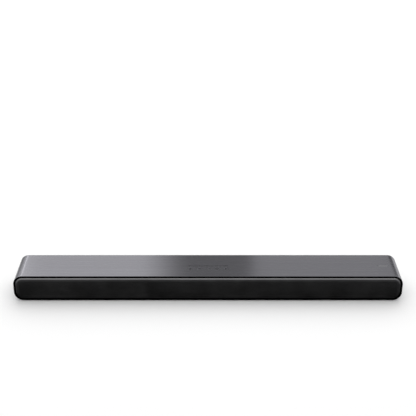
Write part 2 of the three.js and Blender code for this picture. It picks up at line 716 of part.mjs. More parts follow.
// A cup, open towards the baffle, with the lead's terminal block on its inner end.
function speakerBox(side) {
  const width = boxOuterX - boxInnerX;
  const height = boxHighZ - boxLowZ;
  const outside = alongY(roundedRect(width, height, BOX_CORNER), boxFrontY, boxRearY, 0, bodyMidZ);
  const inside = alongY(
    roundedRect(width - 2 * BOX_WALL, height - 2 * BOX_WALL, BOX_CORNER - BOX_WALL),
    boxFrontY - 1,
    boxRearY - BOX_WALL,
    0,
    bodyMidZ,
  );
  const nearX = Math.sign(side) * -(width / 2 - JOIN);
  const farX = Math.sign(side) * -(width / 2 + TERMINAL.length);
  const terminal = box(
    Math.min(nearX, farX),
    Math.max(nearX, farX),
    terminalY - TERMINAL.depth / 2,
    terminalY + TERMINAL.depth / 2,
    bodyMidZ - TERMINAL.height / 2,
    bodyMidZ + TERMINAL.height / 2,
  );
  return outside.subtract(inside).add(terminal).translate([side * (boxOuterX + boxInnerX) / 2, 0, 0]);
}

// Each driver is drawn with its axis on Y, facing -Y, and y = 0 on the baffle's front face.
const straight = WOOFER_STRAIGHT / 2;
const coilOuter = COIL_RADIUS + COIL_WALL;
const coneFrontY = -WOOFER_FLANGE;
const coneRearY = coneFrontY + CONE_DEPTH;
const spiderY = coneRearY + SPIDER_BEHIND_CONE;
const spiderInner = coilOuter + 0.2;
const spiderOuter = MOTOR_RADIUS - 2.5;
const spiderHalfSheet = 0.25;
const basketNeck = MOTOR_RADIUS - 1;
const motorFrontY = BASKET_DEPTH + SEAT;

// A flat ring: radius r0 to r1, y0 to y1, and half the length of its straight sides.
const ring = (half, r0, r1, y0, y1) =>
  racetrackRing([[half, r0, y0], [half, r1, y0], [half, r1, y1], [half, r0, y1]]);

function wooferFrame() {
  const outer = basketNeck + BASKET_WALL;
  const wall = racetrackRing([
    [straight, wooferHoleRadius, -WOOFER_FLANGE / 2],
    [straight, wooferHoleRadius + BASKET_WALL, -WOOFER_FLANGE / 2],
    [straight, wooferHoleRadius + BASKET_WALL, BAFFLE_WALL + 2],
    [0, outer, BASKET_DEPTH],
    [0, basketNeck, BASKET_DEPTH],
    [straight, wooferHoleRadius, BAFFLE_WALL + 1],
  ]);
  const rearPlate = ring(0, coilOuter + 2.5, outer - 0.2, BASKET_DEPTH - BASKET_WALL, BASKET_DEPTH);
  const seatFrontY = spiderY + spiderHalfSheet + SEAT;
  const spiderSeat = ring(0, spiderOuter - 1.2, spiderOuter, seatFrontY, BASKET_DEPTH - JOIN);
  const windowY0 = BAFFLE_WALL + 4;
  const windowY1 = BASKET_DEPTH - 4;
  const windows = [-1, 1].map((side) =>
    box(side * (straight + 4) - 6, side * (straight + 4) + 6, windowY0, windowY1, -5, 5),
  );
  return join(
    ring(straight, wooferHoleRadius, wooferFlangeRadius, -WOOFER_FLANGE, -SEAT),
    cut(wall, ...windows),
    rearPlate,
    spiderSeat,
  );
}

// Magnet, plates and pole piece, with the slot that the coil moves in.
function wooferMotor() {
  const rearY = motorFrontY + MOTOR_DEPTH;
  const slotEndY = rearY - MOTOR_BACK;
  return turned([
    [0, motorFrontY],
    [COIL_RADIUS - COIL_GAP, motorFrontY],
    [COIL_RADIUS - COIL_GAP, slotEndY],
    [coilOuter + COIL_GAP, slotEndY],
    [coilOuter + COIL_GAP, motorFrontY],
    [MOTOR_RADIUS, motorFrontY],
    [MOTOR_RADIUS, rearY],
    [0, rearY],
  ]);
}

function wooferSpider() {
  const waves = 2;
  const steps = waves * 4;
  const front = [];
  const rear = [];
  for (let i = 0; i <= steps; i += 1) {
    const radius = spiderInner + ((spiderOuter - spiderInner) * i) / steps;
    const y = spiderY + SPIDER_WAVE * Math.sin((2 * Math.PI * waves * i) / steps);
    front.push([radius, y - spiderHalfSheet]);
    rear.unshift([radius, y + spiderHalfSheet]);
  }
  return turned([...front, ...rear], 16);
}

function wooferVoiceCoil() {
  const frontY = coneRearY + SEAT;
  const former = 0.6 * COIL_WALL; // the winding adds the rest
  return turned([
    [COIL_RADIUS, frontY],
    [COIL_RADIUS + former, frontY],
    [COIL_RADIUS + former, frontY + COIL_LENGTH / 2],
    [coilOuter, frontY + COIL_LENGTH / 2],
    [coilOuter, frontY + COIL_LENGTH],
    [COIL_RADIUS, frontY + COIL_LENGTH],
  ]);
}

function wooferCone() {
  const lip = SURROUND_GLUE + 0.8;
  return racetrackRing([
    [straight, coneRadius, coneFrontY],
    [straight, coneRadius, coneFrontY + CONE_SHEET],
    [straight, coneRadius - lip, coneFrontY + CONE_SHEET],
    [0, coilOuter + 0.6, coneRearY],
    [0, coilOuter - 1, coneRearY],
    [0, coilOuter - 1, coneRearY - 1],
    [0, coilOuter, coneRearY - 1],
    [straight, coneRadius - lip - 0.4, coneFrontY],
  ]);
}

function wooferDustCap() {
  const radius = coilOuter - GAP;
  const rimY = coneRearY - 1 - SEAT;
  return domedCap(radius, rimY, DUST_CAP.rise, DUST_CAP.sheet);
}

// A thin dome that bulges towards -Y from a rim at rimY.
function domedCap(radius, rimY, rise, sheet) {
  const steps = 3;
  const outside = [];
  const inside = [];
  for (let i = 0; i <= steps; i += 1) {
    const c = i === steps ? 0 : Math.cos((Math.PI / 2) * (i / steps));
    const s = Math.sin((Math.PI / 2) * (i / steps));
    outside.push([radius * c, rimY - rise * s]);
    inside.unshift([(radius - sheet) * c, rimY - (rise - sheet) * s]);
  }
  return turned([...outside, ...inside], 16);
}

function wooferSurround() {
  const inner = coneRadius - SURROUND_GLUE;
  const outer = wooferHoleRadius + SURROUND_GLUE;
  const seatY = -WOOFER_FLANGE - SEAT;
  const middle = (coneRadius + wooferHoleRadius) / 2;
  const rollRadius = (wooferHoleRadius - coneRadius) / 2 + 0.2;
  const front = [];
  const rear = [];
  const steps = 4;
  for (let i = 0; i <= steps; i += 1) {
    const angle = Math.PI * (1 - i / steps);
    const c = Math.cos(angle);
    const s = Math.sin(angle);
    front.push([straight, middle + rollRadius * c, seatY - SURROUND_SHEET - rollRadius * s]);
    rear.unshift([straight, middle + (rollRadius - SURROUND_SHEET / 2) * c, seatY - rollRadius * s]);
  }
  return racetrackRing([
    [straight, inner, seatY - SURROUND_SHEET],
    ...front,
    [straight, outer, seatY - SURROUND_SHEET],
    [straight, outer, seatY],
    ...rear,
    [straight, inner, seatY],
  ]);
}

const tweeterOpening = TWEETER_DOME_RADIUS + TWEETER_SUSPENSION + 0.6;
const tweeterRimY = 0.2;
const tweeterSheet = 0.5;

function tweeterFrame() {
  return turned([
    [TWEETER_RADIUS, -SEAT],
    [TWEETER_RADIUS, -TWEETER_PLATE],
    [TWEETER_DOME_RADIUS + 6, -TWEETER_PLATE],
    [tweeterOpening, -0.8],
    [tweeterOpening, -SEAT],
  ]);
}

function tweeterDome() {
  const radius = TWEETER_DOME_RADIUS;
  const edge = radius + TWEETER_SUSPENSION;
  const dome = domedCap(radius, tweeterRimY + 2 * tweeterSheet, TWEETER_DOME_RISE, tweeterSheet);
  const suspension = ring(0, radius - tweeterSheet, edge, tweeterRimY, tweeterRimY + 2 * tweeterSheet);
  return dome.add(suspension);
}

function tweeterMotor() {
  const seatY = tweeterRimY + 2 * tweeterSheet + 0.5;
  const rearY = seatY + TWEETER_MOTOR.depth;
  const slot = [TWEETER_DOME_RADIUS - 1.5, TWEETER_DOME_RADIUS + 0.5];
  return turned(
    [
      [0, seatY + 1],
      [slot[0], seatY + 1],
      [slot[0], rearY - MOTOR_BACK],
      [slot[1], rearY - MOTOR_BACK],
      [slot[1], seatY],
      [tweeterOpening, seatY],
      [tweeterOpening, 0],
      [TWEETER_MOTOR.radius, 0],
      [TWEETER_MOTOR.radius, rearY],
      [0, rearY],
    ],
    16,
  );
}

function addSpeakers(side, word) {
  const woofer = new THREE.Group();
  woofer.position.set(side * wooferX, baffleFrontY, bodyMidZ);
  add(`${word}_woofer_frame`, wooferFrame(), FINISH.blackPlastic, woofer);
  add(`${word}_woofer_motor`, wooferMotor(), FINISH.magnetGrey, woofer);
  add(`${word}_woofer_spider`, wooferSpider(), FINISH.spiderCloth, woofer);
  add(`${word}_woofer_voice_coil`, wooferVoiceCoil(), FINISH.copper, woofer);
  add(`${word}_woofer_cone`, wooferCone(), FINISH.paperCone, woofer);
  add(`${word}_woofer_dust_cap`, wooferDustCap(), FINISH.paperCone, woofer);
  add(`${word}_woofer_surround`, wooferSurround(), FINISH.rubber, woofer);
  const tweeter = new THREE.Group();
  tweeter.position.set(side * tweeterX, baffleFrontY, bodyMidZ);
  add(`${word}_tweeter_frame`, tweeterFrame(), FINISH.blackPlastic, tweeter);
  add(`${word}_tweeter_dome`, tweeterDome(), FINISH.silk, tweeter);
  add(`${word}_tweeter_motor`, tweeterMotor(), FINISH.magnetGrey, tweeter);
  part.add(woofer, tweeter);
  add(`${word}_speaker_box`, speakerBox(side), FINISH.blackPlastic);
  add(`${word}_speaker_lead`, speakerLead(side), FINISH.leadRed);
}

// ---------------------------------------------------------------- electronics

const boardCorners = ({ left, right }) =>
  [left + 4, right - 4].flatMap((x) => [boardRearY - 4, boardFrontY + 4].map((y) => [x, y]));

const boardPlate = ({ left, right }) => box(left, right, boardFrontY, boardRearY, boardZ, boardTopZ);

// A component on a board, from its middle and its size.
const onBoard = ([x, y], width, depth, height) =>
  box(x - width / 2, x + width / 2, y - depth / 2, y + depth / 2, boardTopZ - JOIN, boardTopZ + height);

const dcPlug = (x) => onBoard([x, dcLeadY], DC_PLUG.width, DC_PLUG.depth, DC_PLUG.height);

function speakerPlug(x) {
  const { width, depth, height } = SPEAKER_PLUG;
  return onBoard([x, boardFrontY + depth / 2], width, depth, height);
}

function mainBoard() {
  const { plugHeight, plugFromFront, plugDepth, width } = RIBBON;
  return join(
    boardPlate(MAIN_BOARD),
    onBoard([26, boardFrontY + 9], 14, 14, 1.4), // sound processor
    onBoard([44, boardFrontY + 8], 9, 9, 1.2), // memory
    onBoard([124, boardRearY - 20], 12, 20, 2.6), // radio module
    onBoard([0, boardFrontY + plugFromFront], width + 4, plugDepth, plugHeight),
    dcPlug(MAIN_BOARD.left + DC_PLUG.fromEdge),
    speakerPlug(SPEAKER_PLUG_X.left),
    speakerPlug(SPEAKER_PLUG_X.right),
  );
}

function heatSink() {
  const { left, width, depth, height, base, fins, fin } = HEAT_SINK;
  const y0 = boardFrontY + HEAT_SINK.fromFront;
  const z0 = boardTopZ + SEAT;
  const pitch = (width - fin) / (fins - 1);
  const blades = Array.from({ length: fins }, (_, i) =>
    box(left + i * pitch, left + i * pitch + fin, y0, y0 + depth, z0 + base / 2, z0 + height),
  );
  return join(box(left, left + width, y0, y0 + depth, z0, z0 + base), ...blades);
}

function powerBoard() {
  return join(
    boardPlate(POWER_BOARD),
    rodZ(8, boardTopZ - JOIN, boardTopZ + 24, -124, boardFrontY + 14, ROUND_SIDES), // reservoir capacitor
    onBoard([-112, boardRearY - 12], 16, 12, 14), // mains choke
    onBoard([-130, boardRearY - 12], 8, 14, 10), // filter capacitor
    onBoard([-60, boardFrontY + 8], 20, 3, 12), // rectifier's cooling plate
    dcPlug(POWER_BOARD.right - DC_PLUG.fromEdge),
  );
}

function transformer() {
  const { x, fromFront, core, bobbin } = TRANSFORMER;
  const y = boardFrontY + fromFront;
  const z = boardTopZ + SEAT;
  const block = ({ width, depth, low, high }) =>
    box(x - width / 2, x + width / 2, y - depth / 2, y + depth / 2, z + low, z + high);
  return join(block(core), block(bobbin));
}

// Sockets stand on the boards and look out through the bay's floor.
const socketBlock = ({ x, z, width, height, depth }) =>
  box(x - width / 2, x + width / 2, socketRearY - depth, socketRearY, z - height / 2, z + height / 2);

function powerInlet() {
  const { x, z } = SOCKETS.power;
  const floorY = socketRearY - INLET.deep;
  const mouth = roundedRect(INLET.width, INLET.height, INLET.height / 2);
  const pins = [-1, 1].map((side) =>
    rodY(INLET.pinRadius, floorY - JOIN, socketRearY - 2, x + (side * INLET.pinPitch) / 2, z, 10),
  );
  return join(socketBlock(SOCKETS.power).subtract(alongY(mouth, floorY, socketRearY + 1, x, z, 5)), ...pins);
}

function hdmiSocket() {
  const { x, z } = SOCKETS.hdmi;
  const mouth = new THREE.Shape([
    new THREE.Vector2(-7, 2.3),
    new THREE.Vector2(-7, -0.8),
    new THREE.Vector2(-5.4, -2.3),
    new THREE.Vector2(5.4, -2.3),
    new THREE.Vector2(7, -0.8),
    new THREE.Vector2(7, 2.3),
  ]);
  const floorY = socketRearY - 9;
  const tongue = box(x - 5.6, x + 5.6, floorY - JOIN, socketRearY - 1.5, z + 0.1, z + 1.2);
  return socketBlock(SOCKETS.hdmi).subtract(alongY(mouth, floorY, socketRearY + 1, x, z)).add(tongue);
}

function opticalSocket() {
  const { x, z } = SOCKETS.optical;
  const half = OPTICAL.mouth / 2;
  const hollow = box(x - half, x + half, socketRearY - OPTICAL.deep, socketRearY + 1, z - half, z + half);
  return socketBlock(SOCKETS.optical).subtract(hollow);
}

// A shutter that hangs in the mouth from a hinge line along X, just under the mouth's upper edge.
function opticalFlap() {
  const half = OPTICAL.mouth / 2 - FLAP.gap;
  const round = FLAP.thick / 2;
  const blade = box(-half, half, -round, round, FLAP.hang + FLAP.gap - OPTICAL.mouth, 0);
  const knuckle = new THREE.CylinderGeometry(round, round, 2 * half, SMALL_SIDES).rotateZ(Math.PI / 2);
  return blade.add(solid(knuckle));
}

function auxJack() {
  const { x, z } = SOCKETS.aux;
  return socketBlock(SOCKETS.aux).subtract(rodY(1.8, socketRearY - 11, socketRearY + 1, x, z, 16));
}

function usbSocket() {
  const { x, z } = SOCKETS.usb;
  const floorY = socketRearY - 11;
  const hollow = box(x - 6.3, x + 6.3, floorY, socketRearY + 1, z - 2.6, z + 2.6);
  const tongue = box(x - 5.4, x + 5.4, floorY - JOIN, socketRearY - 1.5, z + 0.2, z + 2);
  return socketBlock(SOCKETS.usb).subtract(hollow).add(tongue);
}

// The lens fills the window in the baffle and bears on it from behind.
function indicatorLens() {
  const { width, height } = INDICATOR_WINDOW;
  const face = roundedRect(width - 2 * GAP, height - 2 * GAP, 0.8);
  const back = roundedRect(width + 4, height + 4, 1.5);
  return join(
    alongY(face, baffleFrontY - 1.5, baffleRearY + 1, 0, bodyMidZ),
    alongY(back, baffleRearY + SEAT, baffleRearY + 1.5, 0, bodyMidZ),
  );
}

// Lamps and the remote control's receiver, behind the lens.
function indicatorBoard() {
  const { width, height } = INDICATOR_WINDOW;
  const y0 = baffleRearY + 4.5;
  const half = width / 2 + 7;
  const onFront = (x, halfWidth, stand, halfHeight) =>
    box(x - halfWidth, x + halfWidth, y0 - stand, y0 + JOIN, bodyMidZ - halfHeight, bodyMidZ + halfHeight);
  const lamps = [-18, -6, 6].map((x) => onFront(x, 1.5, 1.2, 1.2));
  const receiver = onFront(16.5, 2.5, 2.4, 2.6);
  const posts = [-1, 1].map((side) =>
    rodY(2, baffleRearY + SEAT, y0 + JOIN, side * (half - 2.5), bodyMidZ, 8),
  );
  const board = box(-half, half, y0, y0 + BOARD_THICK, bodyMidZ - height, bodyMidZ + height);
  return join(board, ...lamps, receiver, ...posts);
}

// Speaker leads run from the main board's front edge to the terminal on each box.
function speakerLead(side) {
  const startX = side < 0 ? SPEAKER_PLUG_X.left : SPEAKER_PLUG_X.right;
  const startY = boardFrontY - SEAT;
  const startZ = boardTopZ + SPEAKER_PLUG.height / 2;
  const endX = side * (boxInnerX - TERMINAL.length - SEAT);
  const between = (share) => startX + (endX - startX) * share;
  return lead(
    [
      [startX, startY, startZ],
      [startX, startY - 4, startZ],
      [between(0.25), startY - 7, startZ],
      [between(0.7), startY - 6, startZ + 8],
      [endX - side * 7, terminalY, bodyMidZ],
      [endX, terminalY, bodyMidZ],
    ],
    SPEAKER_LEAD_RADIUS,
  );
}

// A short lead from the power board's plug over to the main board's.
function dcLead() {
  const startX = POWER_BOARD.right - DC_PLUG.fromEdge + DC_PLUG.width / 2 + SEAT;
  const endX = MAIN_BOARD.left + DC_PLUG.fromEdge - DC_PLUG.width / 2 - SEAT;
  const z = boardTopZ + DC_PLUG.height / 2;
  return lead(
    [
      [startX, dcLeadY, z],
      [startX + 3.5, dcLeadY, z],
      [(startX + endX) / 2, dcLeadY, z + 0.8],
      [endX - 3.5, dcLeadY, z],
      [endX, dcLeadY, z],
    ],
    1.6,
  );
}

// ---------------------------------------------------------------- the whole bar

add("top_cover", topCover(), FINISH.brushedGrey);
add("bottom_tray", bottomTray(), FINISH.blackPlastic);
add("front_bezel", frontBezel(), FINISH.bezelBlack);
add("front_grille", frontGrille(), FINISH.grilleBlack);
add("grille_frame", grilleFrame(), FINISH.blackPlastic);
add("acoustic_cloth", acousticCloth(), FINISH.cloth);
add("front_baffle", frontBaffle(), FINISH.blackPlastic);
add("rear_panel", rearPanel(), FINISH.blackPlastic);

const badgeZ = HEIGHT - BADGE.pocket + SEAT;
add("badge_plate", badgePlate(), FINISH.brightMetal).position.set(badgeX, 0, badgeZ);

const footNames = ["front_left_foot", "front_right_foot", "rear_left_foot", "rear_right_foot"];
footPlaces().forEach(([x, y], i) => {
  add(footNames[i], foot(), FINISH.rubber).position.set(x, y, 0);
});

for (const [side, word] of [[-1, "left"], [1, "right"]]) {
  addSpeakers(side, word);
  const plate = add(`${word}_keyhole_plate`, keyholePlate(), FINISH.steel);
  plate.position.set((side * WALL_MOUNT_SPACING) / 2, panelRearY - KEYHOLE_PLATE.thick, keyholeZ);
}

const keyNames = ["power_key", "source_key", "volume_down_key", "volume_up_key", "play_key"];
keyXs.forEach((x, i) => {
  add(keyNames[i], key(), FINISH.brushedGrey).position.set(x, keyRowY, 0);
});
add("key_guide", keyGuide(), FINISH.blackPlastic);
add("key_board", keyBoard(), FINISH.boardGreen);
add("key_ribbon", keyRibbon(), FINISH.ribbonWhite);

add("main_board", mainBoard(), FINISH.boardGreen);
add("heat_sink", heatSink(), FINISH.aluminium);
add("power_board", powerBoard(), FINISH.boardGreen);
add("transformer", transformer(), FINISH.coilYellow);
add("dc_lead", dcLead(), FINISH.leadRed);
add("power_inlet", powerInlet(), FINISH.socketBlack);
add("hdmi_socket", hdmiSocket(), FINISH.steel);
add("optical_socket", opticalSocket(), FINISH.socketBlack);
const flapZ = SOCKETS.optical.z + OPTICAL.mouth / 2 - FLAP.hang;
const flap = add("optical_flap", opticalFlap(), FINISH.socketBlack);
flap.position.set(SOCKETS.optical.x, socketRearY - FLAP.inside, flapZ);
add("aux_jack", auxJack(), FINISH.socketBlack);
add("usb_socket", usbSocket(), FINISH.steel);
add("indicator_lens", indicatorLens(), FINISH.smokedLens);
add("indicator_board", indicatorBoard(), FINISH.boardGreen);

export default part;
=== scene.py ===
import math

import bmesh
import bpy
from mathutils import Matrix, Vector
from mathutils.geometry import tessellate_polygon


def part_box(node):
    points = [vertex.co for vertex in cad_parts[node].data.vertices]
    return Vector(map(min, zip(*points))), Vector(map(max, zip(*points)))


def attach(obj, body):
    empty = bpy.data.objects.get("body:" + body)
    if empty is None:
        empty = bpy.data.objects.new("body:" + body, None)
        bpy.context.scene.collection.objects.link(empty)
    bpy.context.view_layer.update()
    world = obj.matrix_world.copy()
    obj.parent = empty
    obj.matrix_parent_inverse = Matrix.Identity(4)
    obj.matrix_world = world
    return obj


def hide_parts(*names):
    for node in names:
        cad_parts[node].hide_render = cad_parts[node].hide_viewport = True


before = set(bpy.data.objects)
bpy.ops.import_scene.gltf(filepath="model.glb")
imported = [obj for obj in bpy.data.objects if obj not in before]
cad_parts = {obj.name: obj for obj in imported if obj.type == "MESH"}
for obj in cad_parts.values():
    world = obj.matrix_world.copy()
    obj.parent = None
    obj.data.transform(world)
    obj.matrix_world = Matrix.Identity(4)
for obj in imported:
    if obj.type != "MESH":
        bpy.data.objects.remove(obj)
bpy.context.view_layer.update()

MM = 0.001
MERGE_WITHIN = 1e-7  # metres within which two points of a mesh are one

# ---------------------------------------------------------------- driving dimensions

# Case outline and how finely its corners are drawn
CORNER_RADIUS = 18.8
ARC_STEPS = 18
ARC_LEAD = 2.0  # points this far before and after each corner keep the flat faces flat in shading
ROUND_SIDES = 48
SMOOTH_ANGLE = 32
FACE_LEAD = 0.2  # extra ring inside a rounded edge, which keeps the flat face flat in shading
CUT_CLEAR = 1.0  # how far a cutter reaches past the faces that it cuts
SHELL_WALL = 2.0
SHELL_EDGE = 0.6  # rounding of the shell's front and rear edges
EDGE_STEPS = 4
EDGE_LEAD = 0.8  # flat strip beside the rounding, which keeps the top face flat in shading

# Bezel ring, drawn in from the case outline
BEZEL_LIP = 1.15
BEZEL_SLEEVE_INSET = 2.2
BEZEL_INNER_INSET = 3.2
BEZEL_FLANGE_INSET = 6.2
BEZEL_FLANGE = 2.0
BEZEL_EDGE = 0.4  # rounding of the ring's front edges

# Grille: a pan with a round edge, perforated over its flat face
GRILLE_INSET = 3.5
GRILLE_ROUND = 5.0
GRILLE_SHEET = 0.6
GRILLE_CROWN = 0.45  # how far the middle of the face bulges beyond its upper and lower edges
GRILLE_ARC_STEPS = 10
HOLE_SIDES = 6
HOLE_PITCH = 2.6
HOLE_RADIUS = 0.98  # to the corners of each hole
HOLE_BORDER = 1.0  # plain border between the holes and the round edge
CLOTH_THICK = 0.3
CLOTH_STEP = 4.0

# Keys, groove and badge in the top. An edge is the width of a rounding, and an ease is how far its
# middle ring lies in from the sharp corner.
KEY_HOLE_RADIUS = 4.3
KEY_RADIUS = 4.0
KEY_EDGE = 0.3
KEY_EASE = 0.09
KEY_FLANGE_RADIUS = 5.4
KEY_FLANGE = 1.0
KEY_FLANGE_GAP = 0.05  # play between the flange and the shell
KEY_STEM_RADIUS = 1.8
KEY_STEM_CHAMFER = 0.2
RIM_BREAK = 0.06  # small chamfer where a hole meets the top face
GROOVE = {"half": 41.65, "radius": 0.85, "depth": 0.8}
GROOVE_SHADOW_SUNK = 0.03  # black fill in the groove, below the top face: painted shadow of the groove
GROOVE_SHADOW_GAP = 0.02  # play all round the black fill
GROOVE_SHADOW_CHAMFER = 0.08
BADGE_ROOM = 0.3  # play between the badge and its pocket
BADGE_POCKET = 0.95
BADGE_EDGE = 0.25
BADGE_EASE = 0.08
ICON_STROKE = 0.95
ICON_SIZE = 2.7  # half of the width of a printed mark
ICON_RAISE = 0.03
ICON_ARC_STEPS = 20

# Feet, and the case screws under the tray
FOOT_EDGE = 0.7
FOOT_EASE = 0.2
SCREW_XS = (366.2, 235.1, 104.0)
SCREW_Y = 33.5
SCREW_HEAD = {"radius": 3.1, "low": 1.6, "high": 2.6, "chamfer": 0.35, "recess": 1.2, "recess_depth": 0.7}
SCREW_SIDES = 24

# Camera and surroundings, in metres and degrees
CAMERA_PLACE = (0.0, -1.7435, 1.0359)
CAMERA_TILT = 64.214
CAMERA_LENS = 81.7
CAMERA_REACH = 50.0  # beyond this nothing is seen
FLOOR_SIZE = 14.0
FLOOR_DROP = 0.00005
FLOOR_WHITE = (0.93, 0.93, 0.93)
FLOOR_ROUGHNESS = 0.9
FLOOR_DRIFT = {"size": 500, "shades": (0.995, 1.005)}
ROOM_LIGHT = 0.85
BACK_LIGHT = {"power": 42.0, "size": 3.6, "place": (0.0, 1.6, 2.5)}

# Cards and flags that only reflections see: place of the middle and size in metres, brightness,
# and how much of the width (left, right) and height (low, high) fades out
GLOSS_PANELS = {
    "flag_centre": ((-0.024, 0.25, 1.0), (0.302, 2.0), 0.25, (0.45, 0.13, 0.0, 0.02)),
    "card_left": ((-1.2, 1.3, 1.6), (2.4, 3.2), 0.94, (0.1, 0.0, 0.0, 0.1)),
    "card_right": ((1.2, 1.3, 1.6), (2.4, 3.2), 0.52, (0.0, 0.1, 0.0, 0.1)),
    "card_left_low": ((-0.7, 1.0, 0.54), (0.22, 0.26), 3.0, (0.3, 0.3, 0.3, 0.3)),
    "flag_left_low": ((-1.1, 1.0, 0.06), (1.2, 0.6), 0.33, (0.1, 0.1, 0.1, 0.25)),
    "card_left_floor": ((-1.1, 1.0, -0.4), (1.2, 0.4), 1.0, (0.1, 0.1, 0.1, 0.1)),
    "flag_right_low": ((0.8, 0.93, 0.36), (0.5, 0.36), 0.02, (0.2, 0.2, 0.1, 0.2)),
    "card_right_floor": ((0.93, 0.93, -0.02), (0.9, 0.34), 0.85, (0.1, 0.1, 0.1, 0.1)),
}

# What reflections see of the room, by direction: smooth steps along an axis, as start, end, and the
# brightness before and after
GLOSS_ROOM = {
    "towards_rear": ("Y", -1.0, -0.1, 0.35, 1.0),
    "high_up": ("Z", 0.15, 0.6, 0.0, 1.8),
    "overhead": ("Z", 0.8, 0.98, 1.0, 0.55),
    "above": ("Z", -0.6, 0.1, 0.0, 1.0),
    "behind": ("Y", 0.1, 0.6, 0.0, 0.4),
    "shallow": ("Z", -0.8, -0.6, 0.0, 1.0),
    "under": ("Z", -0.95, -0.7, 0.08, 0.0),
}
LEAST_FADE = 0.001

# Finishes. Sizes are in millimetres. Shades are what the colour is multiplied by at the dark and the
# light end of a texture, and gloss is how far the roughness runs up and down.
NOISE_VALUES = (0.3, 0.7)  # between which a noise texture's values mostly lie
WAVE_REPEAT = 0.314  # length in which a wave texture at scale 1 repeats
BRUSH_MAP = "brush"
FINE_LINES = {"length": 60, "pitch": 0.35, "detail": 3.0, "rough": 0.7}
WIDE_LINES = {"length": 420, "pitch": 2.6, "detail": 2.0, "rough": 0.5}
HAIRLINES = {"shades": (0.94, 1.06), "within": (0.35, 0.65), "gloss": 0.035, "bump": 0.004}
BRUSHED_STRETCH = 0.5  # how far highlights are drawn out
BRUSHED_TURN = 0.25  # a quarter turn, so that they run across the brushing
MOULD_DRIFT = {"size": 35.0, "shades": (0.88, 1.12), "gloss": 0.05}
MOULD_DETAIL = 2.0
CAST_GRAIN = {"size": 0.6, "detail": 4.0, "rough": 0.6, "shades": (0.9, 1.08), "bump": 0.01}
CAST_DRIFT = {"size": 8.0, "gloss": 0.08}
LENS_DRIFT = {"size": 12.0, "gloss": 0.03}
WEAVE = {"specular": 0.2, "sheen": 0.2, "waver": 0.4, "shades": (0.6, 1.15), "within": (0.2, 0.9)}
BANDS = {"shades": (0.75, 1.1), "within": (0.1, 0.9)}
TRACKS = {"width": 0.09, "within": (0.45, 0.55)}

# ---------------------------------------------------------------- places read from the frame


def box_mm(node):
    low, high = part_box(node)
    return low / MM, high / MM


def middle_of(node):
    low, high = box_mm(node)
    return (low + high) / 2


def plan_of(node):
    """A racetrack that fills a node's box seen from above: its end radius, half straight and centre."""
    low, high = box_mm(node)
    radius = (high.y - low.y) / 2
    half = (high.x - low.x) / 2 - radius
    return radius, half, ((low.x + high.x) / 2, (low.y + high.y) / 2)


cover_low, cover_high = box_mm("top_cover")
bezel_low, bezel_high = box_mm("front_bezel")
grille_low, grille_high = box_mm("front_grille")
_, tray_high = box_mm("bottom_tray")
cloth_low, cloth_high = box_mm("acoustic_cloth")

HALF_LENGTH = cover_high.x
TOP_Z = cover_high.z
MID_Z = (cover_high.z + cover_low.z) / 2
HALF_HEIGHT = (cover_high.z - cover_low.z) / 2
CORNER_X = HALF_LENGTH - CORNER_RADIUS
CORNER_Z = HALF_HEIGHT - CORNER_RADIUS
QUARTER = math.pi / 2

KEYS = ("power_key", "source_key", "volume_down_key", "volume_up_key", "play_key")

# ---------------------------------------------------------------- mesh helpers


def corner_points(corner, inset):
    """One round corner of the outline, drawn in by inset. They run anticlockwise from the top right."""
    side_x, side_z = ((1, 1), (-1, 1), (-1, -1), (1, -1))[corner]
    middle = Vector((side_x * CORNER_X, MID_Z + side_z * CORNER_Z))
    spokes = []
    for step in range(ARC_STEPS + 1):
        angle = QUARTER * (corner + step / ARC_STEPS)
        spokes.append(Vector((math.cos(angle), math.sin(angle))))
    points = [middle + (CORNER_RADIUS - inset) * spoke for spoke in spokes]
    points.insert(0, points[0] - ARC_LEAD * spokes[-1])
    points.append(points[-1] - ARC_LEAD * spokes[0])
    return [tuple(point) for point in points]


def outline(inset):
    """The case's outline seen from the front, as a closed list of (x, z)."""
    return [point for corner in range(4) for point in corner_points(corner, inset)]


def open_outline(inset, lip_x):
    """The outline without the opening under the bar, from the right lip round to the left one."""
    low_z = MID_Z - HALF_HEIGHT + inset
    middle = [point for corner in (3, 0, 1, 2) for point in corner_points(corner, inset)]
    return [(lip_x, low_z), *middle, (-lip_x, low_z)]


def strip_faces(rows, count, close_rows=False, close_ring=True):
    """Quads between neighbouring rows of count points each."""
    faces = []
    for row in range(rows if close_rows else rows - 1):
        here = row * count
        there = ((row + 1) % rows) * count
        for i in range(count if close_ring else count - 1):
            j = (i + 1) % count
            faces.append((here + i, here + j, there + j, there + i))
    return faces


def swept(section, path_of, closed_path=True):
    """Carries a closed section of (inset, y) points along the outline at each inset."""
    points = []
    for inset, y in section:
        points.extend((x, y, z) for x, z in path_of(inset))
    count = len(points) // len(section)
    faces = strip_faces(len(section), count, close_rows=True, close_ring=closed_path)
    if not closed_path:
        faces.append(tuple(row * count for row in range(len(section))))
        faces.append(tuple(row * count + count - 1 for row in range(len(section))))
    return points, faces


def racetrack(half, radius, sides=ROUND_SIDES):
    """A circle, or with a half straight a racetrack along X, as a closed list of (x, y)."""
    points = []
    for i in range(sides):
        angle = 2 * math.pi * (i + 0.5) / sides
        x = radius * math.cos(angle) + half * math.copysign(1, math.cos(angle))
        points.append((x, radius * math.sin(angle)))
    return points


def lofted(levels, half=0.0, centre=(0.0, 0.0), sides=ROUND_SIDES):
    """A closed body of racetrack rings: levels are (radius, z) from one end to the other."""
    points = []
    for radius, z in levels:
        points.extend((centre[0] + x, centre[1] + y, z) for x, y in racetrack(half, radius, sides))
    faces = strip_faces(len(levels), sides)
    faces.append(tuple(range(sides)))
    faces.append(tuple(range(len(points) - sides, len(points))))
    return points, faces


def rounded_edge(radius, face_z, edge, ease, upward=1):
    """Three rings that round an edge, from the side of a body to its flat face at face_z."""
    return [
        (radius, face_z - upward * edge),
        (radius - ease, face_z - upward * ease),
        (radius - edge, face_z),
    ]


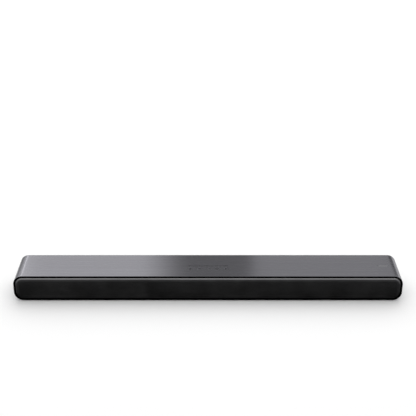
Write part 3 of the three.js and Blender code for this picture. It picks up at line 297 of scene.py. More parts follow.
def prism(loop, z0, z1):
    """A flat outline of (x, y) points raised from z0 to z1."""
    count = len(loop)
    points = [(x, y, z0) for x, y in loop] + [(x, y, z1) for x, y in loop]
    faces = strip_faces(2, count)
    faces.extend((tuple(range(count)), tuple(range(count, 2 * count))))
    return points, faces


def together(*bodies):
    """Several separate bodies as one list of points and faces."""
    points = []
    faces = []
    for body_points, body_faces in bodies:
        start = len(points)
        points.extend(body_points)
        faces.extend(tuple(start + i for i in face) for face in body_faces)
    return points, faces


def mesh_object(name, body):
    """A Blender object from points in millimetres, with doubles merged and its faces turned outwards."""
    points, faces = body
    mesh = bpy.data.meshes.new(name)
    mesh.from_pydata([Vector(point) * MM for point in points], [], faces)
    work = bmesh.new()
    work.from_mesh(mesh)
    bmesh.ops.remove_doubles(work, verts=work.verts, dist=MERGE_WITHIN)
    bmesh.ops.recalc_face_normals(work, faces=work.faces)
    work.to_mesh(mesh)
    work.free()
    made = bpy.data.objects.new(name, mesh)
    bpy.context.scene.collection.objects.link(made)
    return made


def flat_card(name, width, height):
    """A flat rectangle of a size in metres, round its own middle."""
    x, y = width / 2 / MM, height / 2 / MM
    return mesh_object(name, ([(-x, -y, 0), (x, -y, 0), (x, y, 0), (-x, y, 0)], [(0, 1, 2, 3)]))


def smooth(made):
    made.data.shade_smooth()
    made.data.set_sharp_from_angle(angle=math.radians(SMOOTH_ANGLE))


def carve(made, body):
    """Cuts a body out of an object, and keeps the result as its mesh."""
    cutter = mesh_object("cutter", body)
    modifier = made.modifiers.new("carve", "BOOLEAN")
    modifier.operation = "DIFFERENCE"
    modifier.solver = "EXACT"
    modifier.object = cutter
    shown = made.evaluated_get(bpy.context.evaluated_depsgraph_get())
    old = made.data
    made.data = bpy.data.meshes.new_from_object(shown)
    made.modifiers.clear()
    bpy.data.objects.remove(cutter)
    bpy.data.meshes.remove(old)


def dress(made, slot, body="case", replaces=(), finish=None):
    """Gives a piece the material of its finish, or else of its slot, puts it on its body, and hides the CAD
    nodes that it stands for.
    """
    made.data.materials.clear()
    made.data.materials.append(MATERIALS[finish or slot])
    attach(made, body)
    if replaces:
        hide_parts(*replaces)


# ---------------------------------------------------------------- material helpers


def map_range(tree, socket, from_low, from_high, to_low, to_high, smooth_step=False):
    """Adds a node that maps a socket from one range onto another."""
    node = tree.nodes.new("ShaderNodeMapRange")
    if smooth_step:
        node.interpolation_type = "SMOOTHSTEP"
    node.inputs["From Min"].default_value = from_low
    node.inputs["From Max"].default_value = from_high
    node.inputs["To Min"].default_value = to_low
    node.inputs["To Max"].default_value = to_high
    tree.links.new(socket, node.inputs["Value"])
    return node.outputs["Result"]


def combine(tree, operation, first, second):
    """Adds a node that works on two sockets or numbers."""
    node = tree.nodes.new("ShaderNodeMath")
    node.operation = operation
    for socket, value in zip(node.inputs, (first, second)):
        if isinstance(value, (int, float)):
            socket.default_value = value
        else:
            tree.links.new(value, socket)
    return node.outputs["Value"]


class Nodes:
    """A material with one Principled shader, and short ways to add what drives it."""

    def __init__(self, name, color, roughness, metallic=0.0, specular=0.5):
        self.material = bpy.data.materials.new(name)
        self.material.use_nodes = True
        self.tree = self.material.node_tree
        self.shader = self.tree.nodes["Principled BSDF"]
        self.shader.inputs["Base Color"].default_value = (*color, 1)
        self.shader.inputs["Roughness"].default_value = roughness
        self.shader.inputs["Metallic"].default_value = metallic
        self.shader.inputs["Specular IOR Level"].default_value = specular
        self.color = color
        self.roughness = roughness
        self.bump_out = None

    def add(self, kind, **settings):
        node = self.tree.nodes.new(kind)
        for key, value in settings.items():
            setattr(node, key, value)
        return node

    def link(self, source, target):
        self.tree.links.new(source, target)

    def coordinates(self, scale, uv=None):
        """Places on the piece, in metres times scale."""
        if uv:
            place = self.add("ShaderNodeUVMap", uv_map=uv).outputs["UV"]
        else:
            place = self.add("ShaderNodeTexCoord").outputs["Object"]
        mapping = self.add("ShaderNodeMapping")
        mapping.inputs["Scale"].default_value = scale
        self.link(place, mapping.inputs["Vector"])
        return mapping.outputs["Vector"]

    def noise(self, scale, detail=3.0, rough=0.55, uv=None):
        texture = self.add("ShaderNodeTexNoise")
        texture.inputs["Scale"].default_value = 1.0
        texture.inputs["Detail"].default_value = detail
        texture.inputs["Roughness"].default_value = rough
        self.link(self.coordinates(scale, uv), texture.inputs["Vector"])
        return texture.outputs["Fac"]

    def hairlines(self, length, pitch, detail, rough):
        """Noise that is drawn out along the brushing."""
        return self.noise((per_mm(length), per_mm(pitch), 1), detail, rough, BRUSH_MAP)

    def wave(self, direction, repeat_mm, distortion=0.0):
        """Parallel bands across a direction."""
        texture = self.add("ShaderNodeTexWave", bands_direction=direction)
        texture.inputs["Scale"].default_value = 1.0
        texture.inputs["Distortion"].default_value = distortion
        scale = WAVE_REPEAT * per_mm(repeat_mm)
        self.link(self.coordinates((scale,) * 3), texture.inputs["Vector"])
        return texture.outputs["Fac"]

    def shade(self, value, first, second, within):
        """Runs the base colour from first to second as a texture's value rises."""
        ramp = self.add("ShaderNodeValToRGB")
        for stop, at, color in zip(ramp.color_ramp.elements, within, (first, second)):
            stop.position = at
            stop.color = (*color, 1)
        self.link(value, ramp.inputs["Fac"])
        self.link(ramp.outputs["Color"], self.shader.inputs["Base Color"])

    def vary_color(self, value, shades, within=NOISE_VALUES):
        """Runs the base colour from the dark to the light shade of itself as a texture's value rises."""
        first, second = ([channel * times for channel in self.color] for times in shades)
        self.shade(value, first, second, within)

    def vary_roughness(self, value, gloss):
        """Runs the roughness by gloss to both sides of itself as a texture's value rises."""
        ends = (self.roughness - gloss, self.roughness + gloss)
        self.link(map_range(self.tree, value, *NOISE_VALUES, *ends), self.shader.inputs["Roughness"])

    def bump(self, value, height_mm):
        """Raises the surface by a texture's value times height_mm, on top of any bump before it."""
        node = self.add("ShaderNodeBump")
        node.inputs["Strength"].default_value = 1.0
        node.inputs["Distance"].default_value = height_mm * MM
        self.link(value, node.inputs["Height"])
        if self.bump_out:
            self.link(self.bump_out, node.inputs["Normal"])
        self.bump_out = node.outputs["Normal"]
        self.link(self.bump_out, self.shader.inputs["Normal"])


def per_mm(size_mm):
    """Texture scale for a pattern that repeats in about size_mm."""
    return 1 / (size_mm * MM)


def even(size_mm):
    """The same texture scale along all three axes."""
    return (per_mm(size_mm),) * 3


def moulded(name, color, roughness, grain_mm, bump_mm, specular=0.5, metallic=0.0):
    """Moulded or painted: a fine grain, with slow changes of shade and gloss."""
    made = Nodes(name, color, roughness, metallic, specular)
    made.bump(made.noise(even(grain_mm), MOULD_DETAIL), bump_mm)
    slow = made.noise(even(MOULD_DRIFT["size"]))
    made.vary_color(slow, MOULD_DRIFT["shades"])
    made.vary_roughness(slow, MOULD_DRIFT["gloss"])
    return made.material


def brushed(name, color, roughness):
    """Metal brushed along the UV map's U, with fine and wide hairlines."""
    made = Nodes(name, color, roughness, metallic=1.0)
    made.shader.inputs["Anisotropic"].default_value = BRUSHED_STRETCH
    made.shader.inputs["Anisotropic Rotation"].default_value = BRUSHED_TURN
    tangent = made.add("ShaderNodeTangent", direction_type="UV_MAP", uv_map=BRUSH_MAP)
    made.link(tangent.outputs["Tangent"], made.shader.inputs["Tangent"])
    fine = made.hairlines(**FINE_LINES)
    wide = made.hairlines(**WIDE_LINES)
    halves = [combine(made.tree, "MULTIPLY", lines, 0.5) for lines in (fine, wide)]
    mean = combine(made.tree, "ADD", *halves)
    made.vary_color(mean, HAIRLINES["shades"], HAIRLINES["within"])
    made.vary_roughness(mean, HAIRLINES["gloss"])
    made.bump(fine, HAIRLINES["bump"])
    return made.material


def woven(name, color, roughness, thread_mm, bump_mm):
    """Plain weave across X and Z, from two crossed waves."""
    made = Nodes(name, color, roughness, specular=WEAVE["specular"])
    made.shader.inputs["Sheen Weight"].default_value = WEAVE["sheen"]
    threads = [made.wave(direction, thread_mm, WEAVE["waver"]) for direction in ("X", "Z")]
    weave = combine(made.tree, "MAXIMUM", *threads)
    made.vary_color(weave, WEAVE["shades"], WEAVE["within"])
    made.bump(weave, bump_mm)
    return made.material


def cast_metal(name, color, roughness):
    """Pressed or machined metal with a slight grain and uneven gloss."""
    made = Nodes(name, color, roughness, metallic=1.0)
    grain = made.noise(even(CAST_GRAIN["size"]), CAST_GRAIN["detail"], CAST_GRAIN["rough"])
    made.vary_color(grain, CAST_GRAIN["shades"])
    made.vary_roughness(made.noise(even(CAST_DRIFT["size"])), CAST_DRIFT["gloss"])
    made.bump(grain, CAST_GRAIN["bump"])
    return made.material


def banded(name, color, roughness, band_mm, bump_mm, direction, metallic=0.0):
    """Fine parallel bands, as in a winding or a flat ribbon."""
    made = Nodes(name, color, roughness, metallic)
    bands = made.wave(direction, band_mm)
    made.vary_color(bands, BANDS["shades"], BANDS["within"])
    made.bump(bands, bump_mm)
    return made.material


def circuit_board(name, color, roughness, tracks_color, tracks_mm, bump_mm):
    """Lacquer with slightly lighter tracks under it."""
    made = Nodes(name, color, roughness)
    tracks = made.add("ShaderNodeTexBrick")
    tracks.inputs["Scale"].default_value = 1.0
    tracks.inputs["Mortar Size"].default_value = TRACKS["width"]
    for socket, level in (("Color1", 0), ("Color2", 0), ("Mortar", 1)):
        tracks.inputs[socket].default_value = (level, level, level, 1)
    made.link(made.coordinates(even(tracks_mm)), tracks.inputs["Vector"])
    made.shade(tracks.outputs["Color"], color, tracks_color, TRACKS["within"])
    made.bump(tracks.outputs["Color"], bump_mm)
    return made.material


def smoked_lens(name, color, roughness):
    """Clear dark plastic with slightly uneven gloss."""
    made = Nodes(name, color, roughness)
    made.vary_roughness(made.noise(even(LENS_DRIFT["size"])), LENS_DRIFT["gloss"])
    return made.material


SHELL_GREY = (0.302, 0.299, 0.326)

# A finish for each slot, and one for the printed marks that also paints the groove's shadow: maker, colour,
# roughness and settings
FINISHES = {
    "brushed_shell": (brushed, SHELL_GREY, 0.26, {}),
    "brushed_keys": (brushed, SHELL_GREY, 0.32, {}),
    "badge_metal": (brushed, (0.42, 0.42, 0.44), 0.28, {}),
    "case_plastic": (moulded, (0.013, 0.013, 0.014), 0.55, {"grain_mm": 0.5, "bump_mm": 0.03}),
    # bezel_plastic: black plastic; its almost black colour and weak specular also paint the shadow of the
    # gap round the grille
    "bezel_plastic": (
        moulded,
        (0.001, 0.001, 0.001),
        0.6,
        {"grain_mm": 0.4, "bump_mm": 0.008, "specular": 0.02},
    ),
    "grille_steel": (
        moulded,
        (0.165, 0.165, 0.168),
        0.36,
        {"grain_mm": 0.3, "bump_mm": 0.004, "metallic": 1.0},
    ),
    "scrim_cloth": (woven, (0.004, 0.004, 0.004), 0.95, {"thread_mm": 0.6, "bump_mm": 0.08}),
    "foot_rubber": (
        moulded,
        (0.014, 0.014, 0.014),
        0.85,
        {"grain_mm": 0.7, "bump_mm": 0.03, "specular": 0.3},
    ),
    "plain_steel": (cast_metal, (0.45, 0.46, 0.47), 0.32, {}),
    "driver_plastic": (moulded, (0.012, 0.012, 0.013), 0.5, {"grain_mm": 0.6, "bump_mm": 0.03}),
    "motor_steel": (cast_metal, (0.09, 0.09, 0.1), 0.45, {}),
    "spider_cloth": (woven, (0.42, 0.25, 0.06), 0.9, {"thread_mm": 0.8, "bump_mm": 0.1}),
    "coil_copper": (
        banded,
        (0.48, 0.17, 0.06),
        0.35,
        {"band_mm": 0.35, "bump_mm": 0.05, "direction": "Y", "metallic": 0.9},
    ),
    "cone_paper": (moulded, (0.017, 0.017, 0.019), 0.85, {"grain_mm": 1.6, "bump_mm": 0.09}),
    "surround_rubber": (moulded, (0.012, 0.012, 0.012), 0.6, {"grain_mm": 0.8, "bump_mm": 0.02}),
    "dome_silk": (woven, (0.024, 0.024, 0.03), 0.6, {"thread_mm": 0.35, "bump_mm": 0.03}),
    "board_green": (
        circuit_board,
        (0.012, 0.075, 0.036),
        0.38,
        {"tracks_color": (0.03, 0.15, 0.07), "tracks_mm": 6.0, "bump_mm": 0.03},
    ),
    "heat_sink_alloy": (cast_metal, (0.4, 0.4, 0.42), 0.42, {}),
    "winding_yellow": (
        banded,
        (0.6, 0.38, 0.03),
        0.5,
        {"band_mm": 0.8, "bump_mm": 0.05, "direction": "Z"},
    ),
    "socket_plastic": (moulded, (0.008, 0.008, 0.009), 0.4, {"grain_mm": 0.4, "bump_mm": 0.015}),
    "lead_red": (moulded, (0.27, 0.015, 0.012), 0.5, {"grain_mm": 0.9, "bump_mm": 0.02}),
    "ribbon_white": (
        banded,
        (0.7, 0.7, 0.68),
        0.55,
        {"band_mm": 1.0, "bump_mm": 0.05, "direction": "X"},
    ),
    "smoked_lens": (smoked_lens, (0.01, 0.006, 0.007), 0.08, {}),
    # black print on the keys; the same black fills the groove above the keys as painted shadow of the groove
    "black_print": (
        moulded,
        (0.004, 0.004, 0.005),
        0.7,
        {"grain_mm": 0.2, "bump_mm": 0.002, "specular": 0.02},
    ),
}

MATERIALS = {
    name: maker(name + "_mat", color, roughness, **settings)
    for name, (maker, color, roughness, settings) in FINISHES.items()
}

# ---------------------------------------------------------------- brushed shell


def along_outline(x, z):
    """How far (x, z) lies from the middle of the top, measured round the case's outline."""
    side = math.copysign(1, x)
    beyond = abs(x) - CORNER_X
    height = z - MID_Z
    if beyond <= 0:
        if height > 0:
            return x
        return side * (2 * (CORNER_X + CORNER_Z) + 2 * CORNER_RADIUS * QUARTER - abs(x))
    if height > CORNER_Z:
        angle = math.atan2(beyond, height - CORNER_Z)
        return side * (CORNER_X + CORNER_RADIUS * angle)
    if height > -CORNER_Z:
        return side * (CORNER_X + CORNER_RADIUS * QUARTER + CORNER_Z - height)
    angle = math.atan2(-CORNER_Z - height, beyond)
    return side * (CORNER_X + 2 * CORNER_Z + CORNER_RADIUS * (QUARTER + angle))


def brush_map(made, wrapped):
    """UV map along the brushing: U runs round the case, or along X on a flat piece, and V along Y."""
    layer = made.data.uv_layers.get(BRUSH_MAP) or made.data.uv_layers.new(name=BRUSH_MAP)
    for loop in made.data.loops:
        x, y, z = made.data.vertices[loop.vertex_index].co / MM
        u = along_outline(x, z) if wrapped else x
        layer.data[loop.index].uv = (u * MM, y * MM)


def shell_section():
    """The shell's wall with rounded outer edges, as (inset, y)."""
    front, rear = cover_low.y, cover_high.y
    rounding = []
    for step in range(EDGE_STEPS + 1):
        angle = QUARTER * step / EDGE_STEPS
        rounding.append((SHELL_EDGE * (1 - math.cos(angle)), SHELL_EDGE * (1 - math.sin(angle))))
    outer = [(0, SHELL_EDGE + EDGE_LEAD), *rounding]
    return [
        *((inset, front + depth) for inset, depth in outer),
        (SHELL_WALL, front),
        (SHELL_WALL, rear),
        *((inset, rear - depth) for inset, depth in reversed(outer)),
    ]


def flared(radius, depth, half=0.0, centre=(0.0, 0.0)):
    """A cutter for a hole in the top face, with a small chamfer at its rim."""
    levels = [
        (radius, TOP_Z - depth),
        (radius, TOP_Z - RIM_BREAK),
        (radius + RIM_BREAK, TOP_Z),
        (radius + RIM_BREAK + CUT_CLEAR, TOP_Z + CUT_CLEAR),
    ]
    return lofted(levels, half, centre)


def brushed_cover():
    lip_x = tray_high.x + BADGE_ROOM
    shell = swept(shell_section(), lambda inset: open_outline(inset, lip_x), closed_path=False)
    made = mesh_object("brushed_cover", shell)
    key_middles = [middle_of(key) for key in KEYS]
    badge_radius, badge_half, badge_centre = plan_of("badge_plate")
    cuts = [flared(KEY_HOLE_RADIUS, SHELL_WALL + CUT_CLEAR, centre=(at.x, at.y)) for at in key_middles]
    cuts.append(flared(GROOVE["radius"], GROOVE["depth"], GROOVE["half"]))
    cuts.append(flared(badge_radius + BADGE_ROOM, BADGE_POCKET, badge_half, badge_centre))
    carve(made, together(*cuts))
    brush_map(made, wrapped=True)
    smooth(made)
    dress(made, "brushed_shell", replaces=["top_cover"])


# ---------------------------------------------------------------- bezel


def bezel_ring():
    front, rear = bezel_low.y, bezel_high.y
    edge = BEZEL_EDGE
    soft = edge * (1 - math.sqrt(0.5))  # to the middle point of the rounding
    section = [
        (0, front + BEZEL_LIP),
        (0, front + edge),
        (soft, front + soft),
        (edge, front),
        (BEZEL_INNER_INSET - edge, front),
        (BEZEL_INNER_INSET - soft, front + soft),
        (BEZEL_INNER_INSET, front + edge),
        (BEZEL_INNER_INSET, rear - BEZEL_FLANGE),
        (BEZEL_FLANGE_INSET, rear - BEZEL_FLANGE),
        (BEZEL_FLANGE_INSET, rear),
        (BEZEL_SLEEVE_INSET, rear),
        (BEZEL_SLEEVE_INSET, front + BEZEL_LIP),
    ]
    made = mesh_object("bezel_ring", swept(section, outline))
    smooth(made)
    dress(made, "bezel_plastic", replaces=["front_bezel"])


# ---------------------------------------------------------------- perforated grille


def hexagon(centre, radius):
    """The corners of a hole or of the cell round it, as (x, z) from the middle line."""
    corners = []
    for corner in range(HOLE_SIDES):
        angle = math.radians(360 / HOLE_SIDES * corner)
        corners.append((centre[0] + radius * math.sin(angle), centre[1] + radius * math.cos(angle)))
    return corners


def hole_centres(half_x, half_z):
    """Middles of the staggered holes that lie whole inside the field."""
    row_pitch = HOLE_PITCH * math.sin(math.radians(60))
    rows = int((half_z - HOLE_PITCH / math.sqrt(3)) / row_pitch)
    centres = []
    for row in range(-rows, rows + 1):
        shift = HOLE_PITCH / 2 if row % 2 else 0.0
        columns = int((half_x - HOLE_PITCH - shift) / HOLE_PITCH)
        lowest = -columns - (1 if row % 2 else 0)
        for column in range(lowest, columns + 1):
            centre = (column * HOLE_PITCH + shift, row * row_pitch)
            if in_field(centre, half_x, half_z):
                centres.append(centre)
    return centres


def in_field(centre, half_x, half_z):
    """True if the cell round this centre stays clear of the field's round corners."""
    corner = CORNER_RADIUS - GRILLE_INSET - GRILLE_ROUND
    reach = HOLE_PITCH / math.sqrt(3) + HOLE_BORDER
    over_x = abs(centre[0]) - (half_x + HOLE_BORDER - corner)
    over_z = abs(centre[1]) - (half_z + HOLE_BORDER - corner)
    return over_x <= 0 or over_z <= 0 or math.hypot(over_x, over_z) <= corner - reach


def ordered_border(cells):
    """The zigzag edge round all the cells, as one closed list of points."""
    after = {}
    for cell in cells:
        keys = [(round(x, 4), round(z, 4)) for x, z in cell]
        for i, key in enumerate(keys):
            following = keys[(i + 1) % HOLE_SIDES]
            if after.get(following) and key in after[following]:
                after[following].discard(key)
            else:
                after.setdefault(key, set()).add(following)
    start = next(key for key, targets in after.items() if targets)
    loop = [start]
    key = next(iter(after[start]))
    while key != start:
        loop.append(key)
        key = next(iter(after[key]))
    return loop


def grille_sheet(front, rear, border):
    """The flat field between two faces: rings round the holes, their walls, and the plain border."""
    half_x = HALF_LENGTH - GRILLE_INSET - GRILLE_ROUND - HOLE_BORDER
    half_z = HALF_HEIGHT - GRILLE_INSET - GRILLE_ROUND - HOLE_BORDER
    centres = hole_centres(half_x, half_z)
    cells = [hexagon(centre, HOLE_PITCH / math.sqrt(3)) for centre in centres]
    points = []
    faces = []
    for centre, cell in zip(centres, cells):
        hole = hexagon(centre, HOLE_RADIUS)
        start = len(points)
        for y in (front, rear):
            points.extend((x, y, MID_Z + z) for x, z in cell)
            points.extend((x, y, MID_Z + z) for x, z in hole)
        front_cell, front_hole, rear_cell, rear_hole = (start + HOLE_SIDES * ring for ring in range(4))
        for i in range(HOLE_SIDES):
            j = (i + 1) % HOLE_SIDES
            for outer, inner in ((front_cell, front_hole), (rear_cell, rear_hole), (front_hole, rear_hole)):
                faces.append((outer + i, outer + j, inner + j, inner + i))
    zigzag = ordered_border(cells)
    rim = [(x, z - MID_Z) for x, z in border]
    loops = [[Vector((x, z, 0)) for x, z in loop] for loop in (rim, zigzag)]
    triangles = tessellate_polygon(loops)
    for y in (front, rear):
        start = len(points)
        points.extend((x, y, MID_Z + z) for loop in (rim, zigzag) for x, z in loop)
        faces.extend(tuple(start + i for i in triangle) for triangle in triangles)
    return points, faces


def crowned(point, share=1.0):
    """Sets a point of the grille back by the crown, which is none along the middle line."""
    x, y, z = point
    half = HALF_HEIGHT - GRILLE_INSET - GRILLE_ROUND
    over = min(1.0, abs(z - MID_Z) / half)
    return x, y + share * GRILLE_CROWN * over**2, z


def perforated_grille():
    """A pan with a round edge, and the perforated sheet that closes its front."""
    front, rim = grille_low.y, grille_high.y
    flat_inset = GRILLE_INSET + GRILLE_ROUND
    outer = []
    inner = []
    for step in range(GRILLE_ARC_STEPS + 1):
        angle = QUARTER * step / GRILLE_ARC_STEPS
        for line, radius in ((outer, GRILLE_ROUND), (inner, GRILLE_ROUND - GRILLE_SHEET)):
            inset = flat_inset - radius * math.sin(angle)
            y = front + GRILLE_ROUND - radius * math.cos(angle)
            line.append((inset, y, math.cos(angle)))
    section = [*outer, (GRILLE_INSET, rim, 0), (GRILLE_INSET + GRILLE_SHEET, rim, 0), *reversed(inner)]
    points = []
    for inset, y, share in section:
        points.extend(crowned((x, y, z), share) for x, z in outline(inset))
    count = len(points) // len(section)
    pan = (points, strip_faces(len(section), count))
    sheet_points, sheet_faces = grille_sheet(front, front + GRILLE_SHEET, outline(flat_inset))
    sheet = ([crowned(point) for point in sheet_points], sheet_faces)
    made = mesh_object("perforated_grille", together(pan, sheet))
    smooth(made)
    dress(made, "grille_steel", replaces=["front_grille"])


def scrim():
    """The cloth stretched behind the grille, as a thin sheet with a woven face."""
    half_x = cloth_high.x
    half_z = (cloth_high.z - cloth_low.z) / 2
    corner = CORNER_RADIUS - GRILLE_INSET - GRILLE_ROUND
    columns = round(2 * half_x / CLOTH_STEP)
    rows = round(2 * half_z / CLOTH_STEP)
    face_y = cloth_low.y
    points = []
    for row in range(rows + 1):
        z = -half_z + 2 * half_z * row / rows
        over = max(0.0, abs(z) - (half_z - corner))
        reach = half_x - corner + math.sqrt(corner**2 - over**2)
        for column in range(columns + 1):
            x = reach * (2 * column / columns - 1)
            points.append((x, face_y, MID_Z + z))
    faces = strip_faces(rows + 1, columns + 1, close_ring=False)
    made = mesh_object("scrim_sheet", (points, faces))
    thick = made.modifiers.new("thickness", "SOLIDIFY")
    thick.thickness = CLOTH_THICK * MM
    # the thickness goes to the rear
    thick.offset = -1 if made.data.polygons[0].normal.y < 0 else 1
    smooth(made)
    dress(made, "scrim_cloth", replaces=["acoustic_cloth"])


# ---------------------------------------------------------------- keys and their printed marks


def key_cap(key):
    low, high = box_mm(key)
    middle = (low + high) / 2
    flange_top = TOP_Z - SHELL_WALL - KEY_FLANGE_GAP
    levels = [
        (KEY_STEM_RADIUS - KEY_STEM_CHAMFER, low.z),
        (KEY_STEM_RADIUS, low.z + KEY_STEM_CHAMFER),
        (KEY_STEM_RADIUS, flange_top - KEY_FLANGE),
        (KEY_FLANGE_RADIUS, flange_top - KEY_FLANGE),
        (KEY_FLANGE_RADIUS, flange_top),
        (KEY_RADIUS, flange_top),
        *rounded_edge(KEY_RADIUS, high.z, KEY_EDGE, KEY_EASE),
        (KEY_RADIUS - KEY_EDGE - FACE_LEAD, high.z),
    ]
    made = mesh_object(key + "_cap", lofted(levels, centre=(middle.x, middle.y)))
    brush_map(made, wrapped=False)
    smooth(made)
    dress(made, "brushed_keys", key, [key])


def stroke(start, end):
    """A straight stroke of a printed mark, as four points."""
    along = Vector(end) - Vector(start)
    side = Vector((-along.y, along.x)).normalized() * ICON_STROKE / 2
    corners = (Vector(start) + side, Vector(start) - side, Vector(end) - side, Vector(end) + side)
    return [tuple(corner) for corner in corners]


def arc_band(radius, from_angle, to_angle):
    """A curved stroke, as a closed loop."""
    loop = []
    for r, order in ((radius + ICON_STROKE / 2, 1), (radius - ICON_STROKE / 2, -1)):
        for step in range(ICON_ARC_STEPS + 1)[::order]:
            angle = math.radians(from_angle + (to_angle - from_angle) * step / ICON_ARC_STEPS)
            loop.append((r * math.cos(angle), r * math.sin(angle)))
    return loop


def cross(size):
    """A plus sign as one loop of twelve points."""
    w = ICON_STROKE / 2
    quarter = [(w, w), (w, size), (-w, size)]
    loop = []
    for turn in range(4):
        c = round(math.cos(QUARTER * turn))
        s = round(math.sin(QUARTER * turn))
        loop.extend((x * c - y * s, x * s + y * c) for x, y in quarter)
    return loop


def icon_loops():
    """The mark on each key, as closed loops round the key's middle."""
    s = ICON_SIZE
    return {
        "power_key": [arc_band(s * 0.85, 125, 415), stroke((0, 0.1 * s), (0, 1.15 * s))],
        "source_key": [
            stroke((-s, 0), (0, 0)),
            [(0.05 * s, 0.45 * s), (0.05 * s, -0.45 * s), (0.6 * s, 0)],
            stroke((0.85 * s, -0.75 * s), (0.85 * s, 0.75 * s)),
        ],
        "volume_down_key": [stroke((-s, 0), (s, 0))],
        "volume_up_key": [cross(s)],
        "play_key": [
            [(-0.95 * s, 0.7 * s), (-0.95 * s, -0.7 * s), (0.1 * s, 0)],
            stroke((0.4 * s, -0.7 * s), (0.4 * s, 0.7 * s)),
            stroke((0.9 * s, -0.7 * s), (0.9 * s, 0.7 * s)),
        ],
    }


def key_icon(key, loops):
    low, high = box_mm(key)
    middle = (low + high) / 2
    base = high.z - ICON_RAISE
    top = high.z + ICON_RAISE
    marks = [prism([(middle.x + x, middle.y + y) for x, y in loop], base, top) for loop in loops]
    made = mesh_object(key + "_icon", together(*marks))
    dress(made, "brushed_keys", key, finish="black_print")


# ---------------------------------------------------------------- painted groove shadow, badge, feet and screws


def groove_shadow_fill():
    """Black fill in the groove above the keys: painted shadow of the groove."""
    radius = GROOVE["radius"] - GROOVE_SHADOW_GAP
    high = TOP_Z - GROOVE_SHADOW_SUNK
    levels = [
        (radius, TOP_Z - GROOVE["depth"] + GROOVE_SHADOW_GAP),
        (radius, high - GROOVE_SHADOW_CHAMFER),
        (radius - GROOVE_SHADOW_CHAMFER, high),
    ]
    made = mesh_object("groove_shadow_fill", lofted(levels, GROOVE["half"]))
    smooth(made)
    dress(made, "smoked_lens", finish="black_print")


def badge():
    low, high = box_mm("badge_plate")
    radius, half, centre = plan_of("badge_plate")
    levels = [
        (radius, low.z),
        *rounded_edge(radius, high.z, BADGE_EDGE, BADGE_EASE),
        (radius - BADGE_EDGE - FACE_LEAD, high.z),
    ]
    made = mesh_object("badge_insert", lofted(levels, half, centre))
    brush_map(made, wrapped=False)
    smooth(made)
    dress(made, "badge_metal", replaces=["badge_plate"])


def foot_pad(node):
    low, high = box_mm(node)
    radius, half, centre = plan_of(node)
    edge = rounded_edge(radius, low.z, FOOT_EDGE, FOOT_EASE, upward=-1)
    made = mesh_object(node + "_pad", lofted([*reversed(edge), (radius, high.z)], half, centre))
    smooth(made)
    dress(made, "foot_rubber", replaces=[node])


def case_screws():
    """Six pan heads in the tray's recesses, each with a round recess for the driver."""
    radius, low, chamfer = SCREW_HEAD["radius"], SCREW_HEAD["low"], SCREW_HEAD["chamfer"]
    levels = [
        (radius, SCREW_HEAD["high"]),
        (radius, low + chamfer),
        (radius - chamfer, low),
        (SCREW_HEAD["recess"], low),
        (SCREW_HEAD["recess"], low + SCREW_HEAD["recess_depth"]),
    ]
    places = [(side * x, SCREW_Y) for x in SCREW_XS for side in (-1, 1)]
    heads = [lofted(levels, centre=place, sides=SCREW_SIDES) for place in places]
    made = mesh_object("case_screws", together(*heads))
    smooth(made)
    dress(made, "plain_steel")


# ---------------------------------------------------------------- CAD nodes that show as they are

NODE_SLOTS = {
    "bottom_tray": "case_plastic",
    "grille_frame": "case_plastic",
    "front_baffle": "case_plastic",
    "rear_panel": "case_plastic",
    "key_guide": "case_plastic",
    "keyhole_plate": "plain_steel",
    "speaker_box": "case_plastic",
    "speaker_lead": "lead_red",
    "woofer_frame": "driver_plastic",
    "woofer_motor": "motor_steel",
    "woofer_spider": "spider_cloth",
    "woofer_voice_coil": "coil_copper",
    "woofer_cone": "cone_paper",
    "woofer_dust_cap": "cone_paper",
    "woofer_surround": "surround_rubber",
    "tweeter_frame": "driver_plastic",
    "tweeter_dome": "dome_silk",
    "tweeter_motor": "motor_steel",
    "key_board": "board_green",
    "key_ribbon": "ribbon_white",
    "main_board": "board_green",
    "heat_sink": "heat_sink_alloy",
    "power_board": "board_green",
    "transformer": "winding_yellow",
    "dc_lead": "lead_red",
    "power_inlet": "socket_plastic",
    "hdmi_socket": "plain_steel",
    "optical_socket": "socket_plastic",
    "optical_flap": "socket_plastic",
    "aux_jack": "socket_plastic",
    "usb_socket": "plain_steel",
    "indicator_lens": "smoked_lens",
    "indicator_board": "board_green",
}


def dress_frame_nodes():
    """Gives every CAD node that still shows the finish of its slot."""
    for name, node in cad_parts.items():
        if node.hide_render:
            continue
        kind = name.removeprefix("left_").removeprefix("right_")
        material = MATERIALS[NODE_SLOTS[kind]]
        for place in node.material_slots:
            place.material = material


# ---------------------------------------------------------------- surroundings


def camera():
    data = bpy.data.cameras.new("camera")
    data.lens = CAMERA_LENS
    data.clip_end = CAMERA_REACH
    made = bpy.data.objects.new("camera", data)
    made.location = CAMERA_PLACE
    made.rotation_euler = (math.radians(CAMERA_TILT), 0, 0)
    bpy.context.scene.collection.objects.link(made)
    bpy.context.scene.camera = made


def floor():
    """A white floor just below the feet. Reflections don't see it, but see the room below it."""
    made = flat_card("floor", FLOOR_SIZE, FLOOR_SIZE)
    made.location.z = -FLOOR_DROP
    paint = Nodes("floor_white", FLOOR_WHITE, FLOOR_ROUGHNESS, specular=0.0)
    paint.vary_color(paint.noise(even(FLOOR_DRIFT["size"]), MOULD_DETAIL), FLOOR_DRIFT["shades"])
    made.data.materials.append(paint.material)
    made.visible_glossy = False


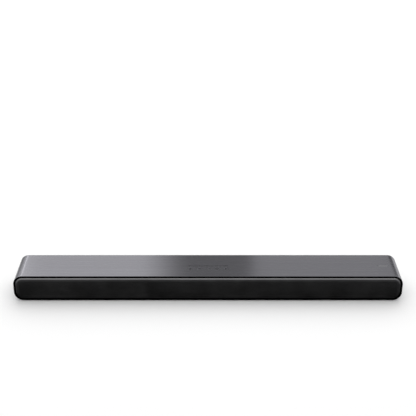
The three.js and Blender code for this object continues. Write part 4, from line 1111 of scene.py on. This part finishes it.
def gloss_panel(name, place, size, glow, fades):
    """A card that only reflections see: it shapes the highlights and lights nothing. Its edges fade out."""
    made = flat_card(name, *size)
    made.location = place
    made.rotation_euler.x = QUARTER
    card = bpy.data.materials.new(name + "_mat")
    card.use_nodes = True
    tree = card.node_tree
    tree.nodes.clear()
    across = tree.nodes.new("ShaderNodeSeparateXYZ")
    tree.links.new(tree.nodes.new("ShaderNodeTexCoord").outputs["Generated"], across.inputs["Vector"])
    left, right, low, high = (max(fade, LEAST_FADE) for fade in fades)
    shown = 1.0
    for socket, start, end in (("X", 0, left), ("X", 1, 1 - right), ("Y", 0, low), ("Y", 1, 1 - high)):
        span = sorted((start, end))
        fade = map_range(tree, across.outputs[socket], *span, start, 1 - start, smooth_step=True)
        shown = combine(tree, "MULTIPLY", shown, fade)
    light = tree.nodes.new("ShaderNodeEmission")
    light.inputs["Strength"].default_value = glow
    faded = tree.nodes.new("ShaderNodeMixShader")
    tree.links.new(shown, faded.inputs["Fac"])
    tree.links.new(tree.nodes.new("ShaderNodeBsdfTransparent").outputs["BSDF"], faded.inputs[1])
    tree.links.new(light.outputs["Emission"], faded.inputs[2])
    out = tree.nodes.new("ShaderNodeOutputMaterial")
    tree.links.new(faded.outputs["Shader"], out.inputs["Surface"])
    made.data.materials.append(card)
    for rays in ("camera", "diffuse", "shadow", "transmission", "volume_scatter"):
        setattr(made, "visible_" + rays, False)


def white_room():
    """Even light all round. The camera sees it white, and reflections see the steps of GLOSS_ROOM."""
    world = bpy.data.worlds.new("white_room")
    bpy.context.scene.world = world
    world.use_nodes = True
    tree = world.node_tree
    background = tree.nodes["Background"]
    background.inputs["Color"].default_value = (1, 1, 1, 1)
    direction = tree.nodes.new("ShaderNodeTexCoord").outputs["Generated"]
    axes = tree.nodes.new("ShaderNodeSeparateXYZ")
    tree.links.new(direction, axes.inputs["Vector"])

    steps = {}
    for name, (axis, *levels) in GLOSS_ROOM.items():
        steps[name] = map_range(tree, axes.outputs[axis], *levels, smooth_step=True)
    below = combine(tree, "MULTIPLY", steps["behind"], steps["shallow"])
    share = combine(tree, "MAXIMUM", combine(tree, "MAXIMUM", steps["above"], below), steps["under"])
    around = combine(tree, "MAXIMUM", steps["towards_rear"], steps["high_up"])
    around = combine(tree, "MULTIPLY", around, steps["overhead"])
    seen = combine(tree, "MULTIPLY", around, share)
    ray = tree.nodes.new("ShaderNodeLightPath")
    change = combine(tree, "SUBTRACT", ROOM_LIGHT, seen)
    change = combine(tree, "MULTIPLY", ray.outputs["Is Glossy Ray"], change)
    strength = combine(tree, "SUBTRACT", ROOM_LIGHT, change)
    strength = combine(tree, "MAXIMUM", ray.outputs["Is Camera Ray"], strength)
    tree.links.new(strength, background.inputs["Strength"])


def back_light():
    """A wide soft lamp above and behind, for the soft shadow in front of the bar."""
    data = bpy.data.lights.new("back_light", "AREA")
    data.energy = BACK_LIGHT["power"]
    data.size = BACK_LIGHT["size"]
    made = bpy.data.objects.new("back_light", data)
    made.location = BACK_LIGHT["place"]
    made.rotation_euler = (-Vector(BACK_LIGHT["place"])).to_track_quat("-Z", "Y").to_euler()
    made.visible_glossy = False
    made.visible_camera = False
    bpy.context.scene.collection.objects.link(made)


# ---------------------------------------------------------------- the whole scene

bpy.context.scene.view_settings.view_transform = "Standard"
camera()
white_room()
back_light()
floor()
for panel, settings in GLOSS_PANELS.items():
    gloss_panel(panel, *settings)

brushed_cover()
bezel_ring()
perforated_grille()
scrim()
for key, loops in icon_loops().items():
    key_cap(key)
    key_icon(key, loops)
groove_shadow_fill()
badge()
for foot in ("front_left_foot", "front_right_foot", "rear_left_foot", "rear_right_foot"):
    foot_pad(foot)
case_screws()
dress_frame_nodes()
